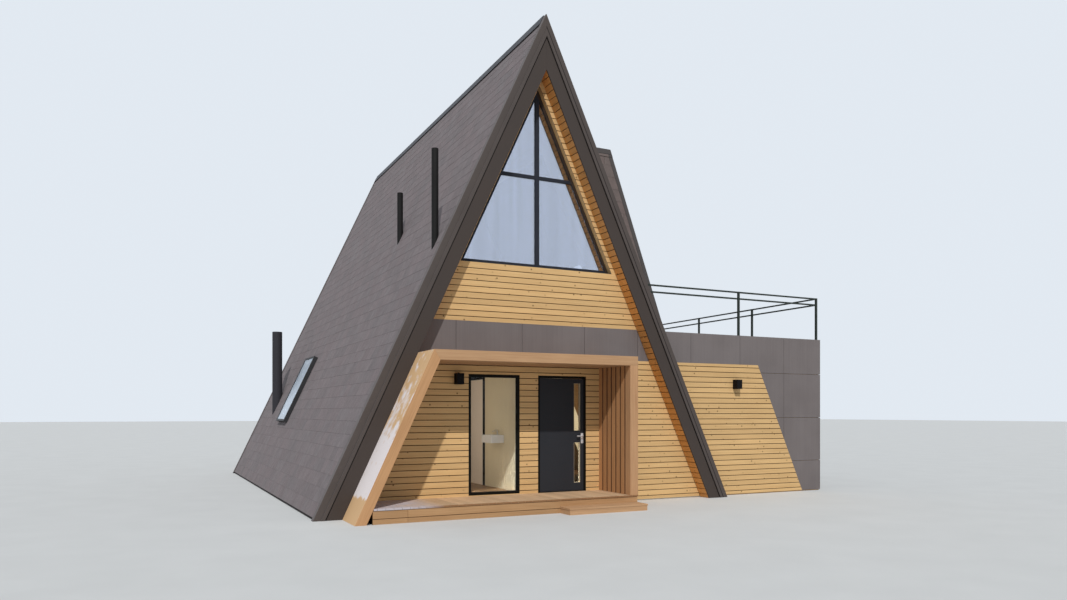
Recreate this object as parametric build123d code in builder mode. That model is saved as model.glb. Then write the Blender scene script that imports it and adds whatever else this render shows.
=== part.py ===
from build123d import *
import os
from math import atan2, cos, sin, tan

os.makedirs("parts", exist_ok=True)

# A-frame cabin with a flat-roofed side room. Lengths in millimetres.
# X runs along the front, Y from the front gable to the back, Z up.
# The origin is on the ground, under the ridge, at the middle of the roof's length.

# Main roof
ridge_height = 8790
roof_half_width = 4090
roof_length = 11280
roof_overhang = 295
roof_thickness = 390
shingle_thickness = 30
shingle_foot = 30
soffit_thickness = 20
mitre_gap = 1
ridge_cap_leg = 150
ridge_cap_thickness = 20
ridge_cap_lip = 40
ridge_cap_sheet = 8

# Rake edges: a stepped metal trim, an open groove and a fascia board
fascia_thickness = 25
fascia_setback = 14
trim_rise = 10
trim_flange = 100
trim_outer = 105
trim_outer_setback = 18
trim_inner = 54
trim_groove = 20
trim_round = 8

# Walls and floors
wall_thickness = 180
cladding_thickness = 22
cladding_foot = 20
floor_level = 250
loft_level = 3150
loft_thickness = 200
band_low = 2692
band_high = 3293
panel_module = 1250
panel_joint = 8
band_joints = (-1615, -350, 940, 2120)
annex_joints = (3400, 4660, 5863)

# Front door and the fixed window beside it
door_left = -29
door_width = 1004
opening_height = 2120
window_left = -1382
window_width = 984
window_bar = 50
window_bar_depth = 70
glass_thickness = 24
door_bar = 42
door_bar_depth = 70
leaf_gap = 5
leaf_thickness = 62
slit_from_lock_edge = 74
slit_width = 128
slit_lows = (400, 1363)
slit_highs = (1143, 2235)

# Door furniture
handle_height = 1262
plate_width = 50
plate_height = 190
plate_below_handle = 137
plate_thickness = 8
lock_drop = 87
lock_radius = 8.5
lock_tail = 25
lock_rise = 4
spindle_from_lock_edge = 35
spindle_radius = 7
spindle_play = 0.3
lever_length = 130
lever_radius = 11
lever_bend = 20
lever_stand_off = 48
lever_play = 0.5
hinge_heights = (520, 1310, 2100)
hinge_height = 100
hinge_radius = 9
pin_radius = 5
pin_play = 0.3
hinge_leaf_thickness = 4

# Gable windows
gable_sill = 4330
gable_margin = 82
gable_setback = 90
gable_bar = 60
mullion_width = 80
transom_rise = 1650

# Porch frame, deck and step
porch_depth = 1070
porch_member = 163
porch_right = 1418
slat_count = 6
slat_gap = 32
deck_level = 240
deck_board = 30
deck_nosing = 8
deck_shadow_gap = 8
deck_fascia_height = 125
deck_fascia_thickness = 22
joist_width = 45
joist_module = 450
step_left = -150
step_right = 1400
step_depth = 330
step_level = 115

# Side room
annex_right = 6918
annex_depth = 6250
annex_slant_foot = 6396
annex_panel_levels = (660, 1590, 2530)
rail_height = 4210
rail_drop = 133
rail_size = 30
post_size = 40
rail_setback = 60
rail_bay = 2187

# Dormer over the side room
dormer_setback = 950
dormer_length = 3450
dormer_drop = 1740
dormer_reach = 2100
dormer_foot_reach = 3542
dormer_wall_thickness = 150
dormer_roof_thickness = 150
terrace_door_width = 2000
terrace_door_height = 2100
terrace_sill = 100

# Roof fittings, placed by distance behind the front cladding
flue_places = ((-1930, 190), (-1610, 3260), (-3200, 8970))
flue_radii = (60, 60, 125)
flue_tops = (6260, 6280, 3820)
skylight_width = 1100
skylight_length = 1680
skylight_setback = 6780
skylight_centre = 2460
skylight_rise = 90
skylight_bar = 45

# Wall lamps
lamp_width = 130
lamp_depth = 140
lamp_height = 190
lamp_bottom = 2183
lamp_lefts = (-1650, 4470)
lamp_rim = 12
lamp_recess = 15

# Room behind the fixed window
partition_face = -340
partition_thickness = 100
partition_length = 3000
inner_door_setback = 1790
inner_door_width = 970
inner_door_height = 2170
inner_door_bar = 60
inner_leaf_thickness = 40
inner_leaf_setback = 10
basin_length = 480
basin_depth = 260
basin_height = 148
basin_top = 1274
basin_setback = 820
basin_wall = 22
basin_ledge = 60
basin_round = 25

# Worked out from the sizes above
pitch = atan2(ridge_height, roof_half_width)
front_edge = -roof_length / 2
back_edge = roof_length / 2
front_face = front_edge + roof_overhang
back_face = back_edge - roof_overhang
front_core = front_face + cladding_thickness
back_core = back_face - cladding_thickness
front_inside = front_core + wall_thickness
back_inside = back_core - wall_thickness
opening_top = floor_level + opening_height
door_right = door_left + door_width
window_right = window_left + window_width
annex_back = front_face + annex_depth
annex_side_core = annex_right - cladding_thickness
annex_side_inside = annex_side_core - wall_thickness
annex_back_core = annex_back - cladding_thickness
annex_back_inside = annex_back_core - wall_thickness
dormer_front = front_face + dormer_setback
dormer_back = dormer_front + dormer_length
porch_front = front_face - porch_depth
rake_depth = roof_thickness + soffit_thickness
trim_back = fascia_setback + fascia_thickness
trim_width = trim_outer + trim_inner + trim_groove
roof_front = front_edge + trim_back
roof_back = back_edge - trim_back
dormer_top = ridge_height - dormer_drop
dormer_underside = dormer_top - dormer_roof_thickness


def rake_x(height, inset=0):
    """Distance from the ridge plane to a plane below the roof surface, at a height."""
    return (ridge_height - height) / tan(pitch) - inset / sin(pitch)


def apex_z(inset=0):
    """Height where the two planes at an inset below the roof surface meet."""
    return ridge_height - inset / cos(pitch)


def slope_band(side, outer, inner, low=0, gap=0):
    """Outline of one roof layer, from a low level up to its mitre at the ridge."""
    drop = gap * tan(pitch)
    return [
        (side * rake_x(low, outer), low),
        (side * gap, apex_z(outer) - drop),
        (side * gap, apex_z(inner) - drop),
        (side * rake_x(low, inner), low),
    ]


def cut_slope(side, outer, inner, low, high):
    """Outline of one roof layer between two levels."""
    return [
        (side * rake_x(low, outer), low),
        (side * rake_x(high, outer), high),
        (side * rake_x(high, inner), high),
        (side * rake_x(low, inner), low),
    ]


def gable(low, high=None, inset=0):
    """Outline of the gable inside the roof planes, up to a level or to the apex."""
    left_foot = (-rake_x(low, inset), low)
    right_foot = (rake_x(low, inset), low)
    if high is None:
        return [left_foot, right_foot, (0, apex_z(inset))]
    return [left_foot, right_foot, (rake_x(high, inset), high), (-rake_x(high, inset), high)]


def prism(points, y_front, y_back, mode=Mode.ADD):
    """Extrude an outline drawn in X and Z from one depth to another."""
    with BuildSketch(Plane.XZ.offset(-y_back)) as outline:
        Polygon(*points)
    extrude(outline.sketch, amount=y_back - y_front, mode=mode)


def block(x_range, y_range, z_range, mode=Mode.ADD):
    """Square-cornered piece between two values on each axis."""
    corners = [
        (x_range[0], z_range[0]),
        (x_range[1], z_range[0]),
        (x_range[1], z_range[1]),
        (x_range[0], z_range[1]),
    ]
    prism(corners, y_range[0], y_range[1], mode)


def finish(piece, name):
    """Label a finished piece and write its file."""
    piece.part.label = name
    export_step(piece.part, f"parts/{name}.step")


# Floors

with BuildPart() as floor_slab:
    prism(gable(0, floor_level, roof_thickness), front_inside, back_inside)
finish(floor_slab, "floor_slab")

with BuildPart() as annex_floor:
    bay = [
        (rake_x(0, roof_thickness), 0),
        (annex_side_inside, 0),
        (annex_side_inside, floor_level),
        (rake_x(floor_level, roof_thickness), floor_level),
    ]
    room = [
        (rake_x(0, shingle_thickness), 0),
        (annex_side_inside, 0),
        (annex_side_inside, floor_level),
        (rake_x(floor_level, shingle_thickness), floor_level),
    ]
    prism(room, front_inside, annex_back_inside)
    prism(bay, dormer_front, dormer_back)
finish(annex_floor, "annex_floor")

loft_underside = loft_level - loft_thickness

with BuildPart() as loft_floor:
    prism(gable(loft_underside, loft_level, roof_thickness), front_inside, back_inside)
finish(loft_floor, "loft_floor")

# Left roof slope with its skylight opening

left_slope = Plane(
    origin=(-roof_half_width, 0, 0),
    x_dir=(0, -1, 0),
    z_dir=(-sin(pitch), 0, cos(pitch)),
)
skylight_place = (-(front_face + skylight_setback), skylight_centre)

with BuildPart() as left_roof:
    prism(
        slope_band(-1, shingle_thickness, roof_thickness),
        roof_front,
        roof_back,
    )
    with BuildSketch(left_slope) as skylight_hole:
        with Locations(skylight_place):
            Rectangle(skylight_width, skylight_length)
    extrude(skylight_hole.sketch, amount=-2 * roof_thickness, mode=Mode.SUBTRACT)
finish(left_roof, "left_roof")

with BuildPart() as left_shingles:
    prism(
        slope_band(-1, 0, shingle_thickness, shingle_foot),
        roof_front,
        roof_back,
    )
    extrude(skylight_hole.sketch, amount=-2 * shingle_thickness, mode=Mode.SUBTRACT)
finish(left_shingles, "left_shingles")

# Right roof slope, open into the dormer and the side room between its two parts

with BuildPart() as right_roof_front:
    prism(
        slope_band(1, shingle_thickness, roof_thickness),
        roof_front,
        dormer_front,
    )
finish(right_roof_front, "right_roof_front")

with BuildPart() as right_roof_back:
    prism(
        slope_band(1, shingle_thickness, roof_thickness),
        dormer_back,
        roof_back,
    )
finish(right_roof_back, "right_roof_back")

with BuildPart() as right_roof_top:
    prism(
        slope_band(1, shingle_thickness, roof_thickness, dormer_underside),
        dormer_front,
        dormer_back,
    )
finish(right_roof_top, "right_roof_top")

with BuildPart() as right_shingles:
    prism(
        slope_band(1, 0, shingle_thickness, shingle_foot),
        roof_front,
        roof_back,
    )
    block(
        (0, 2 * roof_half_width),
        (front_face, annex_back),
        (0, band_high),
        Mode.SUBTRACT,
    )
    block(
        (0, 2 * roof_half_width),
        (dormer_front, dormer_back),
        (0, dormer_top),
        Mode.SUBTRACT,
    )
finish(right_shingles, "right_shingles")


def cap_point(side, leg, rise):
    """Point on the ridge cap: a distance down one slope and a rise square to it."""
    return (
        side * (leg * cos(pitch) + rise * sin(pitch)),
        ridge_height - leg * sin(pitch) + rise * cos(pitch),
    )


def cap_side(side):
    """One leg of the ridge cap's section, from its foot on the shingles out to its lip."""
    return [
        cap_point(side, ridge_cap_leg - ridge_cap_lip, 0),
        cap_point(side, ridge_cap_leg - ridge_cap_lip, ridge_cap_thickness - ridge_cap_sheet),
        cap_point(side, ridge_cap_leg, ridge_cap_thickness - ridge_cap_sheet),
        cap_point(side, ridge_cap_leg, ridge_cap_thickness),
    ]


with BuildPart() as ridge_cap:
    cap_ridge = (0, ridge_height + ridge_cap_thickness / cos(pitch))
    prism(
        [(0, ridge_height), *cap_side(1), cap_ridge, *reversed(cap_side(-1))],
        roof_front + trim_flange,
        roof_back - trim_flange,
    )
finish(ridge_cap, "ridge_cap")

# Rake edges: each section is carried up the front left rake, mitred at the
# ridge, cut level at the ground and mirrored to the other three rakes

rake_section = Plane(
    origin=(-roof_half_width, front_edge, 0),
    x_dir=(sin(pitch), 0, -cos(pitch)),
    z_dir=(cos(pitch), 0, sin(pitch)),
)
rake_length = ridge_height / sin(pitch) + 2 * rake_depth


def four_rakes(section):
    """Run a rake section from ground to ridge, mitre it there and mirror it both ways."""
    extrude(section.sketch, amount=rake_length)
    split(bisect_by=Plane.YZ.offset(-mitre_gap / 2), keep=Keep.BOTTOM)
    split(bisect_by=Plane.XY, keep=Keep.TOP)
    mirror(about=Plane.YZ)
    mirror(about=Plane.XZ)


with BuildPart() as fascias:
    with BuildSketch(rake_section.offset(-rake_depth)) as fascia_section:
        with Locations((trim_width, fascia_setback)):
            Rectangle(
                rake_depth - trim_width,
                fascia_thickness,
                align=(Align.MIN, Align.MIN),
            )
    four_rakes(fascia_section)
finish(fascias, "fascias")

with BuildPart() as barge_trims:
    with BuildSketch(rake_section.offset(-rake_depth)) as trim_section:
        with BuildLine():
            Polyline(
                (-trim_rise, trim_outer_setback),
                (trim_outer, trim_outer_setback),
                (trim_outer, 0),
                (trim_outer + trim_inner, 0),
                (trim_outer + trim_inner, trim_back),
                (0, trim_back),
                (0, trim_back + trim_flange),
                (-trim_rise, trim_back + trim_flange),
                close=True,
            )
        make_face()
        outer_corner = trim_section.vertices().group_by(Axis.X)[0].sort_by(Axis.Y)[0]
        fillet(outer_corner, trim_round)
    four_rakes(trim_section)
finish(barge_trims, "barge_trims")

with BuildPart() as soffits:
    for side in (-1, 1):
        lining = slope_band(side, roof_thickness, rake_depth, 0, mitre_gap / 2)
        prism(lining, roof_front, front_face)
        prism(lining, back_face, roof_back)
finish(soffits, "soffits")

# Gable window outline, parallel to the roof

gable_half_width = rake_x(gable_sill, rake_depth + gable_margin)
transom_height = gable_sill + transom_rise
gable_peak = gable_sill + gable_half_width * tan(pitch)


def window_triangle(inset=0):
    """Outline of the gable window, each side moved inwards by an inset."""
    low = gable_sill + inset
    top = gable_peak - inset / cos(pitch)
    half = (top - low) / tan(pitch)
    return [(-half, low), (half, low), (0, top)]


# Front wall, split beside and over the door

inner_foot = rake_x(0, roof_thickness)
inner_at_lintel = rake_x(opening_top, roof_thickness)

with BuildPart() as front_wall_left:
    prism(
        [(-inner_foot, 0), (door_left, 0), (door_left, opening_top), (-inner_at_lintel, opening_top)],
        front_core,
        front_inside,
    )
    block(
        (window_left, window_right),
        (front_core, front_inside),
        (floor_level, opening_top),
        Mode.SUBTRACT,
    )
finish(front_wall_left, "front_wall_left")

with BuildPart() as front_wall_right:
    prism(
        [(door_right, 0), (inner_foot, 0), (inner_at_lintel, opening_top), (door_right, opening_top)],
        front_core,
        front_inside,
    )
finish(front_wall_right, "front_wall_right")

with BuildPart() as front_wall_upper:
    prism(gable(opening_top, None, roof_thickness), front_core, front_inside)
    prism(window_triangle(), front_core, front_inside, Mode.SUBTRACT)
finish(front_wall_upper, "front_wall_upper")

with BuildPart() as door_sill:
    block((door_left, door_right), (front_face, front_inside), (0, floor_level))
finish(door_sill, "door_sill")

# Board cladding of the front gable, below and above the panel band

with BuildPart() as front_boards:
    prism(gable(cladding_foot, band_low, roof_thickness), front_face, front_core)
    block(
        (door_left, door_right),
        (front_face, front_core),
        (0, opening_top),
        Mode.SUBTRACT,
    )
    block(
        (window_left, window_right),
        (front_face, front_core),
        (floor_level, opening_top),
        Mode.SUBTRACT,
    )
    prism(gable(band_high, None, roof_thickness), front_face, front_core)
    prism(window_triangle(), front_face, front_core, Mode.SUBTRACT)
finish(front_boards, "front_boards")

with BuildPart() as gable_band:
    prism(gable(band_low, band_high, roof_thickness), front_face, front_core)
    for joint_x in band_joints:
        block(
            (joint_x - panel_joint / 2, joint_x + panel_joint / 2),
            (front_face, front_core),
            (band_low, band_high),
            Mode.SUBTRACT,
        )
    prism(gable(band_low, band_high, roof_thickness), back_core, back_face)
    for joint_x in band_joints:
        block(
            (-joint_x - panel_joint / 2, -joint_x + panel_joint / 2),
            (back_core, back_face),
            (band_low, band_high),
            Mode.SUBTRACT,
        )
finish(gable_band, "gable_band")

# Back wall: the same gable window, band and boards, and two fixed windows

back_window_lefts = (window_left, -window_right)

with BuildPart() as back_wall:
    prism(gable(0, None, roof_thickness), back_inside, back_core)
    prism(window_triangle(), back_inside, back_core, Mode.SUBTRACT)
    for left in back_window_lefts:
        block(
            (left, left + window_width),
            (back_inside, back_core),
            (floor_level, opening_top),
            Mode.SUBTRACT,
        )
finish(back_wall, "back_wall")

with BuildPart() as back_boards:
    prism(gable(cladding_foot, band_low, roof_thickness), back_core, back_face)
    prism(gable(band_high, None, roof_thickness), back_core, back_face)
    prism(window_triangle(), back_core, back_face, Mode.SUBTRACT)
    for left in back_window_lefts:
        block(
            (left, left + window_width),
            (back_core, back_face),
            (floor_level, opening_top),
            Mode.SUBTRACT,
        )
finish(back_boards, "back_boards")

# Window frames and glass

window_front = front_face + 10
window_back = window_front + window_bar_depth
glass_front = window_front + (window_bar_depth - glass_thickness) / 2
back_window_front = back_face - 10 - window_bar_depth
back_glass_front = back_window_front + (window_bar_depth - glass_thickness) / 2
gable_window_front = front_face + gable_setback
back_gable_window_front = back_face - gable_setback - window_bar_depth


def ground_frame(left, y_front):
    """Square frame of a ground-floor window."""
    block(
        (left, left + window_width),
        (y_front, y_front + window_bar_depth),
        (floor_level, opening_top),
    )
    block(
        (left + window_bar, left + window_width - window_bar),
        (y_front, y_front + window_bar_depth),
        (floor_level + window_bar, opening_top - window_bar),
        Mode.SUBTRACT,
    )


def ground_pane(left, y_front):
    """Glass of a ground-floor window."""
    block(
        (left + window_bar, left + window_width - window_bar),
        (y_front, y_front + glass_thickness),
        (floor_level + window_bar, opening_top - window_bar),
    )


with BuildPart() as ground_window_frames:
    ground_frame(window_left, window_front)
    for left in back_window_lefts:
        ground_frame(left, back_window_front)
finish(ground_window_frames, "ground_window_frames")


def gable_frame(y_front):
    """Triangular frame with a mullion and a transom."""
    y_back = y_front + window_bar_depth
    prism(window_triangle(), y_front, y_back)
    prism(window_triangle(gable_bar), y_front, y_back, Mode.SUBTRACT)
    inner_peak = gable_peak - gable_bar / cos(pitch)
    block(
        (-mullion_width / 2, mullion_width / 2),
        (y_front, y_back),
        (gable_sill, inner_peak),
    )
    reach = (gable_peak - transom_height - gable_bar) / tan(pitch)
    block(
        (-reach, reach),
        (y_front, y_back),
        (transom_height - gable_bar / 2, transom_height + gable_bar / 2),
    )


def gable_panes(y_frame):
    """Four panes between the bars of a gable window."""
    y_front = y_frame + (window_bar_depth - glass_thickness) / 2
    y_back = y_front + glass_thickness
    prism(window_triangle(gable_bar), y_front, y_back)
    block(
        (-mullion_width / 2, mullion_width / 2),
        (y_front, y_back),
        (gable_sill, gable_peak),
        Mode.SUBTRACT,
    )
    block(
        (-gable_half_width, gable_half_width),
        (y_front, y_back),
        (transom_height - gable_bar / 2, transom_height + gable_bar / 2),
        Mode.SUBTRACT,
    )


with BuildPart() as gable_window_frames:
    gable_frame(gable_window_front)
    gable_frame(back_gable_window_front)
finish(gable_window_frames, "gable_window_frames")

with BuildPart() as window_glass:
    ground_pane(window_left, glass_front)
    for left in back_window_lefts:
        ground_pane(left, back_glass_front)
    gable_panes(gable_window_front)
    gable_panes(back_gable_window_front)
finish(window_glass, "window_glass")

# Front door

frame_front = front_face + 10
frame_back = frame_front + door_bar_depth
leaf_back = frame_back
leaf_front = leaf_back - leaf_thickness
leaf_left = door_left + door_bar + leaf_gap
leaf_right = door_right - door_bar - leaf_gap
leaf_low = floor_level + leaf_gap
leaf_high = opening_top - door_bar - leaf_gap
slit_right = leaf_right - slit_from_lock_edge
slit_left = slit_right - slit_width
spindle_x = leaf_right - spindle_from_lock_edge

with BuildPart() as door_frame:
    block((door_left, door_right), (frame_front, frame_back), (floor_level, opening_top))
    block(
        (door_left + door_bar, door_right - door_bar),
        (frame_front, frame_back),
        (floor_level, opening_top - door_bar),
        Mode.SUBTRACT,
    )
finish(door_frame, "door_frame")

with BuildPart() as door_leaf:
    block((leaf_left, leaf_right), (leaf_front, leaf_back), (leaf_low, leaf_high))
    for low, high in zip(slit_lows, slit_highs):
        block((slit_left, slit_right), (leaf_front, leaf_back), (low, high), Mode.SUBTRACT)
    with BuildSketch(Plane.XZ.offset(-leaf_back)):
        with Locations((spindle_x, handle_height)):
            Circle(spindle_radius + spindle_play)
    extrude(amount=leaf_thickness, mode=Mode.SUBTRACT)
finish(door_leaf, "door_leaf")

with BuildPart() as door_glass:
    pane_front = (leaf_front + leaf_back - glass_thickness) / 2
    for low, high in zip(slit_lows, slit_highs):
        block((slit_left, slit_right), (pane_front, pane_front + glass_thickness), (low, high))
finish(door_glass, "door_glass")

plate_middle = handle_height - plate_below_handle + plate_height / 2
lock_height = handle_height - lock_drop
plate_front = leaf_front - plate_thickness
plate_back = leaf_back + plate_thickness

with BuildPart() as handle_plates:
    for back in (leaf_front, plate_back):
        with BuildSketch(Plane.XZ.offset(-back)):
            with Locations((spindle_x, plate_middle)):
                RectangleRounded(plate_width, plate_height, plate_width / 5)
            with Locations((spindle_x, handle_height)):
                Circle(spindle_radius + spindle_play, mode=Mode.SUBTRACT)
        extrude(amount=plate_thickness)
    for back in (plate_front, plate_back + lock_rise):
        with BuildSketch(Plane.XZ.offset(-back)):
            with Locations((spindle_x, lock_height)):
                Circle(lock_radius)
                Rectangle(lock_radius, lock_tail, align=(Align.CENTER, Align.MAX))
        extrude(amount=lock_rise)
finish(handle_plates, "handle_plates")

neck_front = plate_front - lever_play
neck_back = plate_back + lever_play

with BuildPart() as door_handle:
    with BuildSketch(Plane.XZ.offset(-neck_back)):
        with Locations((spindle_x, handle_height)):
            Circle(spindle_radius)
    extrude(amount=neck_back - neck_front)
    for start, reach in ((neck_front, -lever_stand_off), (neck_back, lever_stand_off)):
        with BuildLine(Plane.XY.offset(handle_height)) as lever_line:
            FilletPolyline(
                (spindle_x, start),
                (spindle_x, start + reach),
                (spindle_x - lever_length, start + reach),
                radius=lever_bend,
            )
        with BuildSketch(Plane(origin=lever_line.line @ 0, z_dir=lever_line.line % 0)):
            Circle(lever_radius)
        sweep(path=lever_line.line)
finish(door_handle, "door_handle")

hinge_x = leaf_left - leaf_gap / 2
hinge_y = leaf_back + hinge_radius + 1

with BuildPart() as frame_hinges:
    for height in hinge_heights:
        with BuildSketch(Plane.XY.offset(height)):
            with Locations((hinge_x, hinge_y)):
                Circle(hinge_radius)
        extrude(amount=hinge_height / 2)
        with BuildSketch(Plane.XY.offset(height)):
            with Locations((hinge_x, hinge_y)):
                Circle(pin_radius)
        extrude(amount=hinge_height)
        block(
            (door_left + door_bar / 2, hinge_x),
            (leaf_back, leaf_back + hinge_leaf_thickness),
            (height, height + hinge_height / 2),
        )
finish(frame_hinges, "frame_hinges")

with BuildPart() as leaf_hinges:
    for height in hinge_heights:
        sleeve_low = height + hinge_height / 2 + pin_play
        with BuildSketch(Plane.XY.offset(sleeve_low)):
            with Locations((hinge_x, hinge_y)):
                Circle(hinge_radius)
                Circle(pin_radius + pin_play, mode=Mode.SUBTRACT)
        extrude(amount=hinge_height / 2)
        with BuildSketch(Plane.XY.offset(sleeve_low)):
            with Locations((hinge_x, leaf_back)):
                Rectangle(
                    leaf_gap / 2 + 40,
                    hinge_leaf_thickness,
                    align=(Align.MIN, Align.MIN),
                )
            with Locations((hinge_x, hinge_y)):
                Circle(pin_radius + pin_play, mode=Mode.SUBTRACT)
        extrude(amount=hinge_height / 2)
finish(leaf_hinges, "leaf_hinges")

# Porch frame

leg_inset = rake_depth

with BuildPart() as porch_leg:
    prism(
        cut_slope(-1, leg_inset, leg_inset + porch_member, 0, band_low),
        porch_front,
        front_face,
    )
finish(porch_leg, "porch_leg")

beam_left_low = -rake_x(band_low - porch_member, leg_inset + porch_member)
beam_left_high = -rake_x(band_low, leg_inset + porch_member)

with BuildPart() as porch_top:
    prism(
        [
            (beam_left_low, band_low - porch_member),
            (porch_right, band_low - porch_member),
            (porch_right, band_low),
            (beam_left_high, band_low),
        ],
        porch_front,
        front_face,
    )
finish(porch_top, "porch_top")

beam_low = band_low - porch_member

with BuildPart() as porch_post:
    block(
        (porch_right - porch_member, porch_right),
        (porch_front, porch_front + porch_member),
        (deck_level, beam_low),
    )
finish(porch_post, "porch_post")

slat_run = porch_depth - porch_member
slat_width = (slat_run - slat_count * slat_gap) / slat_count

with BuildPart() as slat_screen:
    for number in range(slat_count):
        y_front = porch_front + porch_member + slat_gap + number * (slat_width + slat_gap)
        block(
            (porch_right - porch_member, porch_right - porch_member / 2),
            (y_front, y_front + slat_width),
            (deck_level, beam_low),
        )
finish(slat_screen, "slat_screen")

deck_left_high = -rake_x(deck_level, leg_inset + porch_member)
deck_left_low = -rake_x(deck_level - deck_board, leg_inset + porch_member)

with BuildPart() as deck_boards:
    prism(
        [
            (deck_left_low, deck_level - deck_board),
            (porch_right, deck_level - deck_board),
            (porch_right, deck_level),
            (deck_left_high, deck_level),
        ],
        porch_front,
        front_face,
    )
finish(deck_boards, "deck_boards")

deck_underside = deck_level - deck_board
deck_right = porch_right - deck_nosing
fascia_back = porch_front + deck_nosing + deck_fascia_thickness
upper_fascia_low = deck_underside - deck_fascia_height
joist_depths = (fascia_back, front_face)
joist_count = int((deck_right - deck_left_low - joist_width) / joist_module)

with BuildPart() as deck_frame:
    for low, high in ((upper_fascia_low, deck_underside), (0, upper_fascia_low - deck_shadow_gap)):
        block((deck_left_low, deck_right), (porch_front + deck_nosing, fascia_back), (low, high))
    for depths in ((fascia_back, fascia_back + joist_width), (front_face - joist_width, front_face)):
        block((deck_left_low, deck_right), depths, (0, deck_underside))
    block((deck_left_low, deck_left_low + joist_width), joist_depths, (0, deck_underside))
    for number in range(joist_count + 1):
        joist_right = deck_right - number * joist_module
        block((joist_right - joist_width, joist_right), joist_depths, (0, deck_underside))
finish(deck_frame, "deck_frame")

with BuildPart() as porch_step:
    step_front = porch_front - step_depth
    block(
        (step_left, step_right),
        (step_front, porch_front + deck_nosing),
        (step_level - deck_board, step_level),
    )
    block(
        (step_left + deck_nosing, step_right - deck_nosing),
        (step_front + deck_nosing, porch_front + deck_nosing),
        (0, step_level - deck_board),
    )
finish(porch_step, "porch_step")

# Wall lamps

with BuildPart() as wall_lamps:
    for left in lamp_lefts:
        block(
            (left, left + lamp_width),
            (front_face - lamp_depth, front_face),
            (lamp_bottom, lamp_bottom + lamp_height),
        )
        block(
            (left + lamp_rim, left + lamp_width - lamp_rim),
            (front_face - lamp_depth + lamp_rim, front_face - lamp_rim),
            (lamp_bottom, lamp_bottom + lamp_recess),
            Mode.SUBTRACT,
        )
finish(wall_lamps, "wall_lamps")

# Side room: walls, cladding, flat roof and terrace rail

with BuildPart() as annex_front_wall:
    prism(
        [
            (rake_x(0, shingle_thickness), 0),
            (annex_side_core, 0),
            (annex_side_core, band_high),
            (rake_x(band_high, shingle_thickness), band_high),
        ],
        front_core,
        front_inside,
    )
finish(annex_front_wall, "annex_front_wall")

with BuildPart() as annex_side_wall:
    block(
        (annex_side_inside, annex_side_core),
        (front_inside, annex_back_core),
        (0, band_high),
    )
finish(annex_side_wall, "annex_side_wall")

with BuildPart() as annex_back_wall:
    prism(
        [
            (rake_x(0, shingle_thickness), 0),
            (annex_side_inside, 0),
            (annex_side_inside, band_high),
            (rake_x(band_high, shingle_thickness), band_high),
        ],
        annex_back_inside,
        annex_back_core,
    )
finish(annex_back_wall, "annex_back_wall")

slant_top = annex_slant_foot - band_low / tan(pitch)

with BuildPart() as annex_boards:
    prism(
        [
            (rake_x(cladding_foot, shingle_thickness), cladding_foot),
            (annex_slant_foot - cladding_foot / tan(pitch), cladding_foot),
            (slant_top, band_low),
            (rake_x(band_low, shingle_thickness), band_low),
        ],
        front_face,
        front_core,
    )
finish(annex_boards, "annex_boards")


def panel_joints(lows, y_range, x_range):
    """Open joints between panels at the given levels."""
    for level in lows:
        block(
            x_range,
            y_range,
            (level - panel_joint / 2, level + panel_joint / 2),
            Mode.SUBTRACT,
        )


with BuildPart() as annex_panels:
    prism(
        [
            (rake_x(band_low, shingle_thickness), band_low),
            (slant_top, band_low),
            (annex_slant_foot - cladding_foot / tan(pitch), cladding_foot),
            (annex_right, cladding_foot),
            (annex_right, band_high),
            (rake_x(band_high, shingle_thickness), band_high),
        ],
        front_face,
        front_core,
    )
    for joint_x in annex_joints:
        low = cladding_foot if joint_x > slant_top else band_low
        block(
            (joint_x - panel_joint / 2, joint_x + panel_joint / 2),
            (front_face, front_core),
            (low, band_high),
            Mode.SUBTRACT,
        )
    panel_joints(annex_panel_levels, (front_face, front_core), (slant_top, annex_right))
    side_depths = (front_core + panel_joint, annex_back_core - panel_joint)
    block((annex_side_core, annex_right), side_depths, (cladding_foot, band_high))
    panel_joints(annex_panel_levels, side_depths, (annex_side_core, annex_right))
    for number in range(1, int(annex_depth / panel_module)):
        joint_y = front_face + number * panel_module
        block(
            (annex_side_core, annex_right),
            (joint_y - panel_joint / 2, joint_y + panel_joint / 2),
            (cladding_foot, band_high),
            Mode.SUBTRACT,
        )
    prism(
        [
            (rake_x(cladding_foot), cladding_foot),
            (annex_right, cladding_foot),
            (annex_right, band_high),
            (rake_x(band_high), band_high),
        ],
        annex_back_core,
        annex_back,
    )
    panel_joints(
        annex_panel_levels,
        (annex_back_core, annex_back),
        (rake_x(band_high), annex_right),
    )
finish(annex_panels, "annex_panels")

with BuildPart() as annex_roof:
    prism(
        [
            (rake_x(loft_underside, shingle_thickness), loft_underside),
            (annex_side_inside, loft_underside),
            (annex_side_inside, loft_level),
            (rake_x(loft_level, shingle_thickness), loft_level),
        ],
        front_inside,
        annex_back_inside,
    )
    prism(
        cut_slope(1, shingle_thickness, roof_thickness, loft_underside, loft_level),
        dormer_front,
        dormer_back,
    )
finish(annex_roof, "annex_roof")

rail_x = annex_right - rail_setback
rail_front = front_face + rail_setback
rail_back = annex_back - rail_setback
rail_levels = (rail_height - rail_size, rail_height - rail_drop - rail_size)
middle_post_x = rail_x - rail_bay
side_step = (rail_back - rail_front) / 3

with BuildPart() as rail_posts:
    spots = [(middle_post_x, rail_front), (middle_post_x, rail_back)]
    for number in range(4):
        spots.append((rail_x, rail_front + number * side_step))
    with BuildSketch(Plane.XY.offset(band_high)):
        with Locations(*spots):
            Rectangle(post_size, post_size)
    extrude(amount=rail_height - band_high)
finish(rail_posts, "rail_posts")

half_post = post_size / 2

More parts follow.
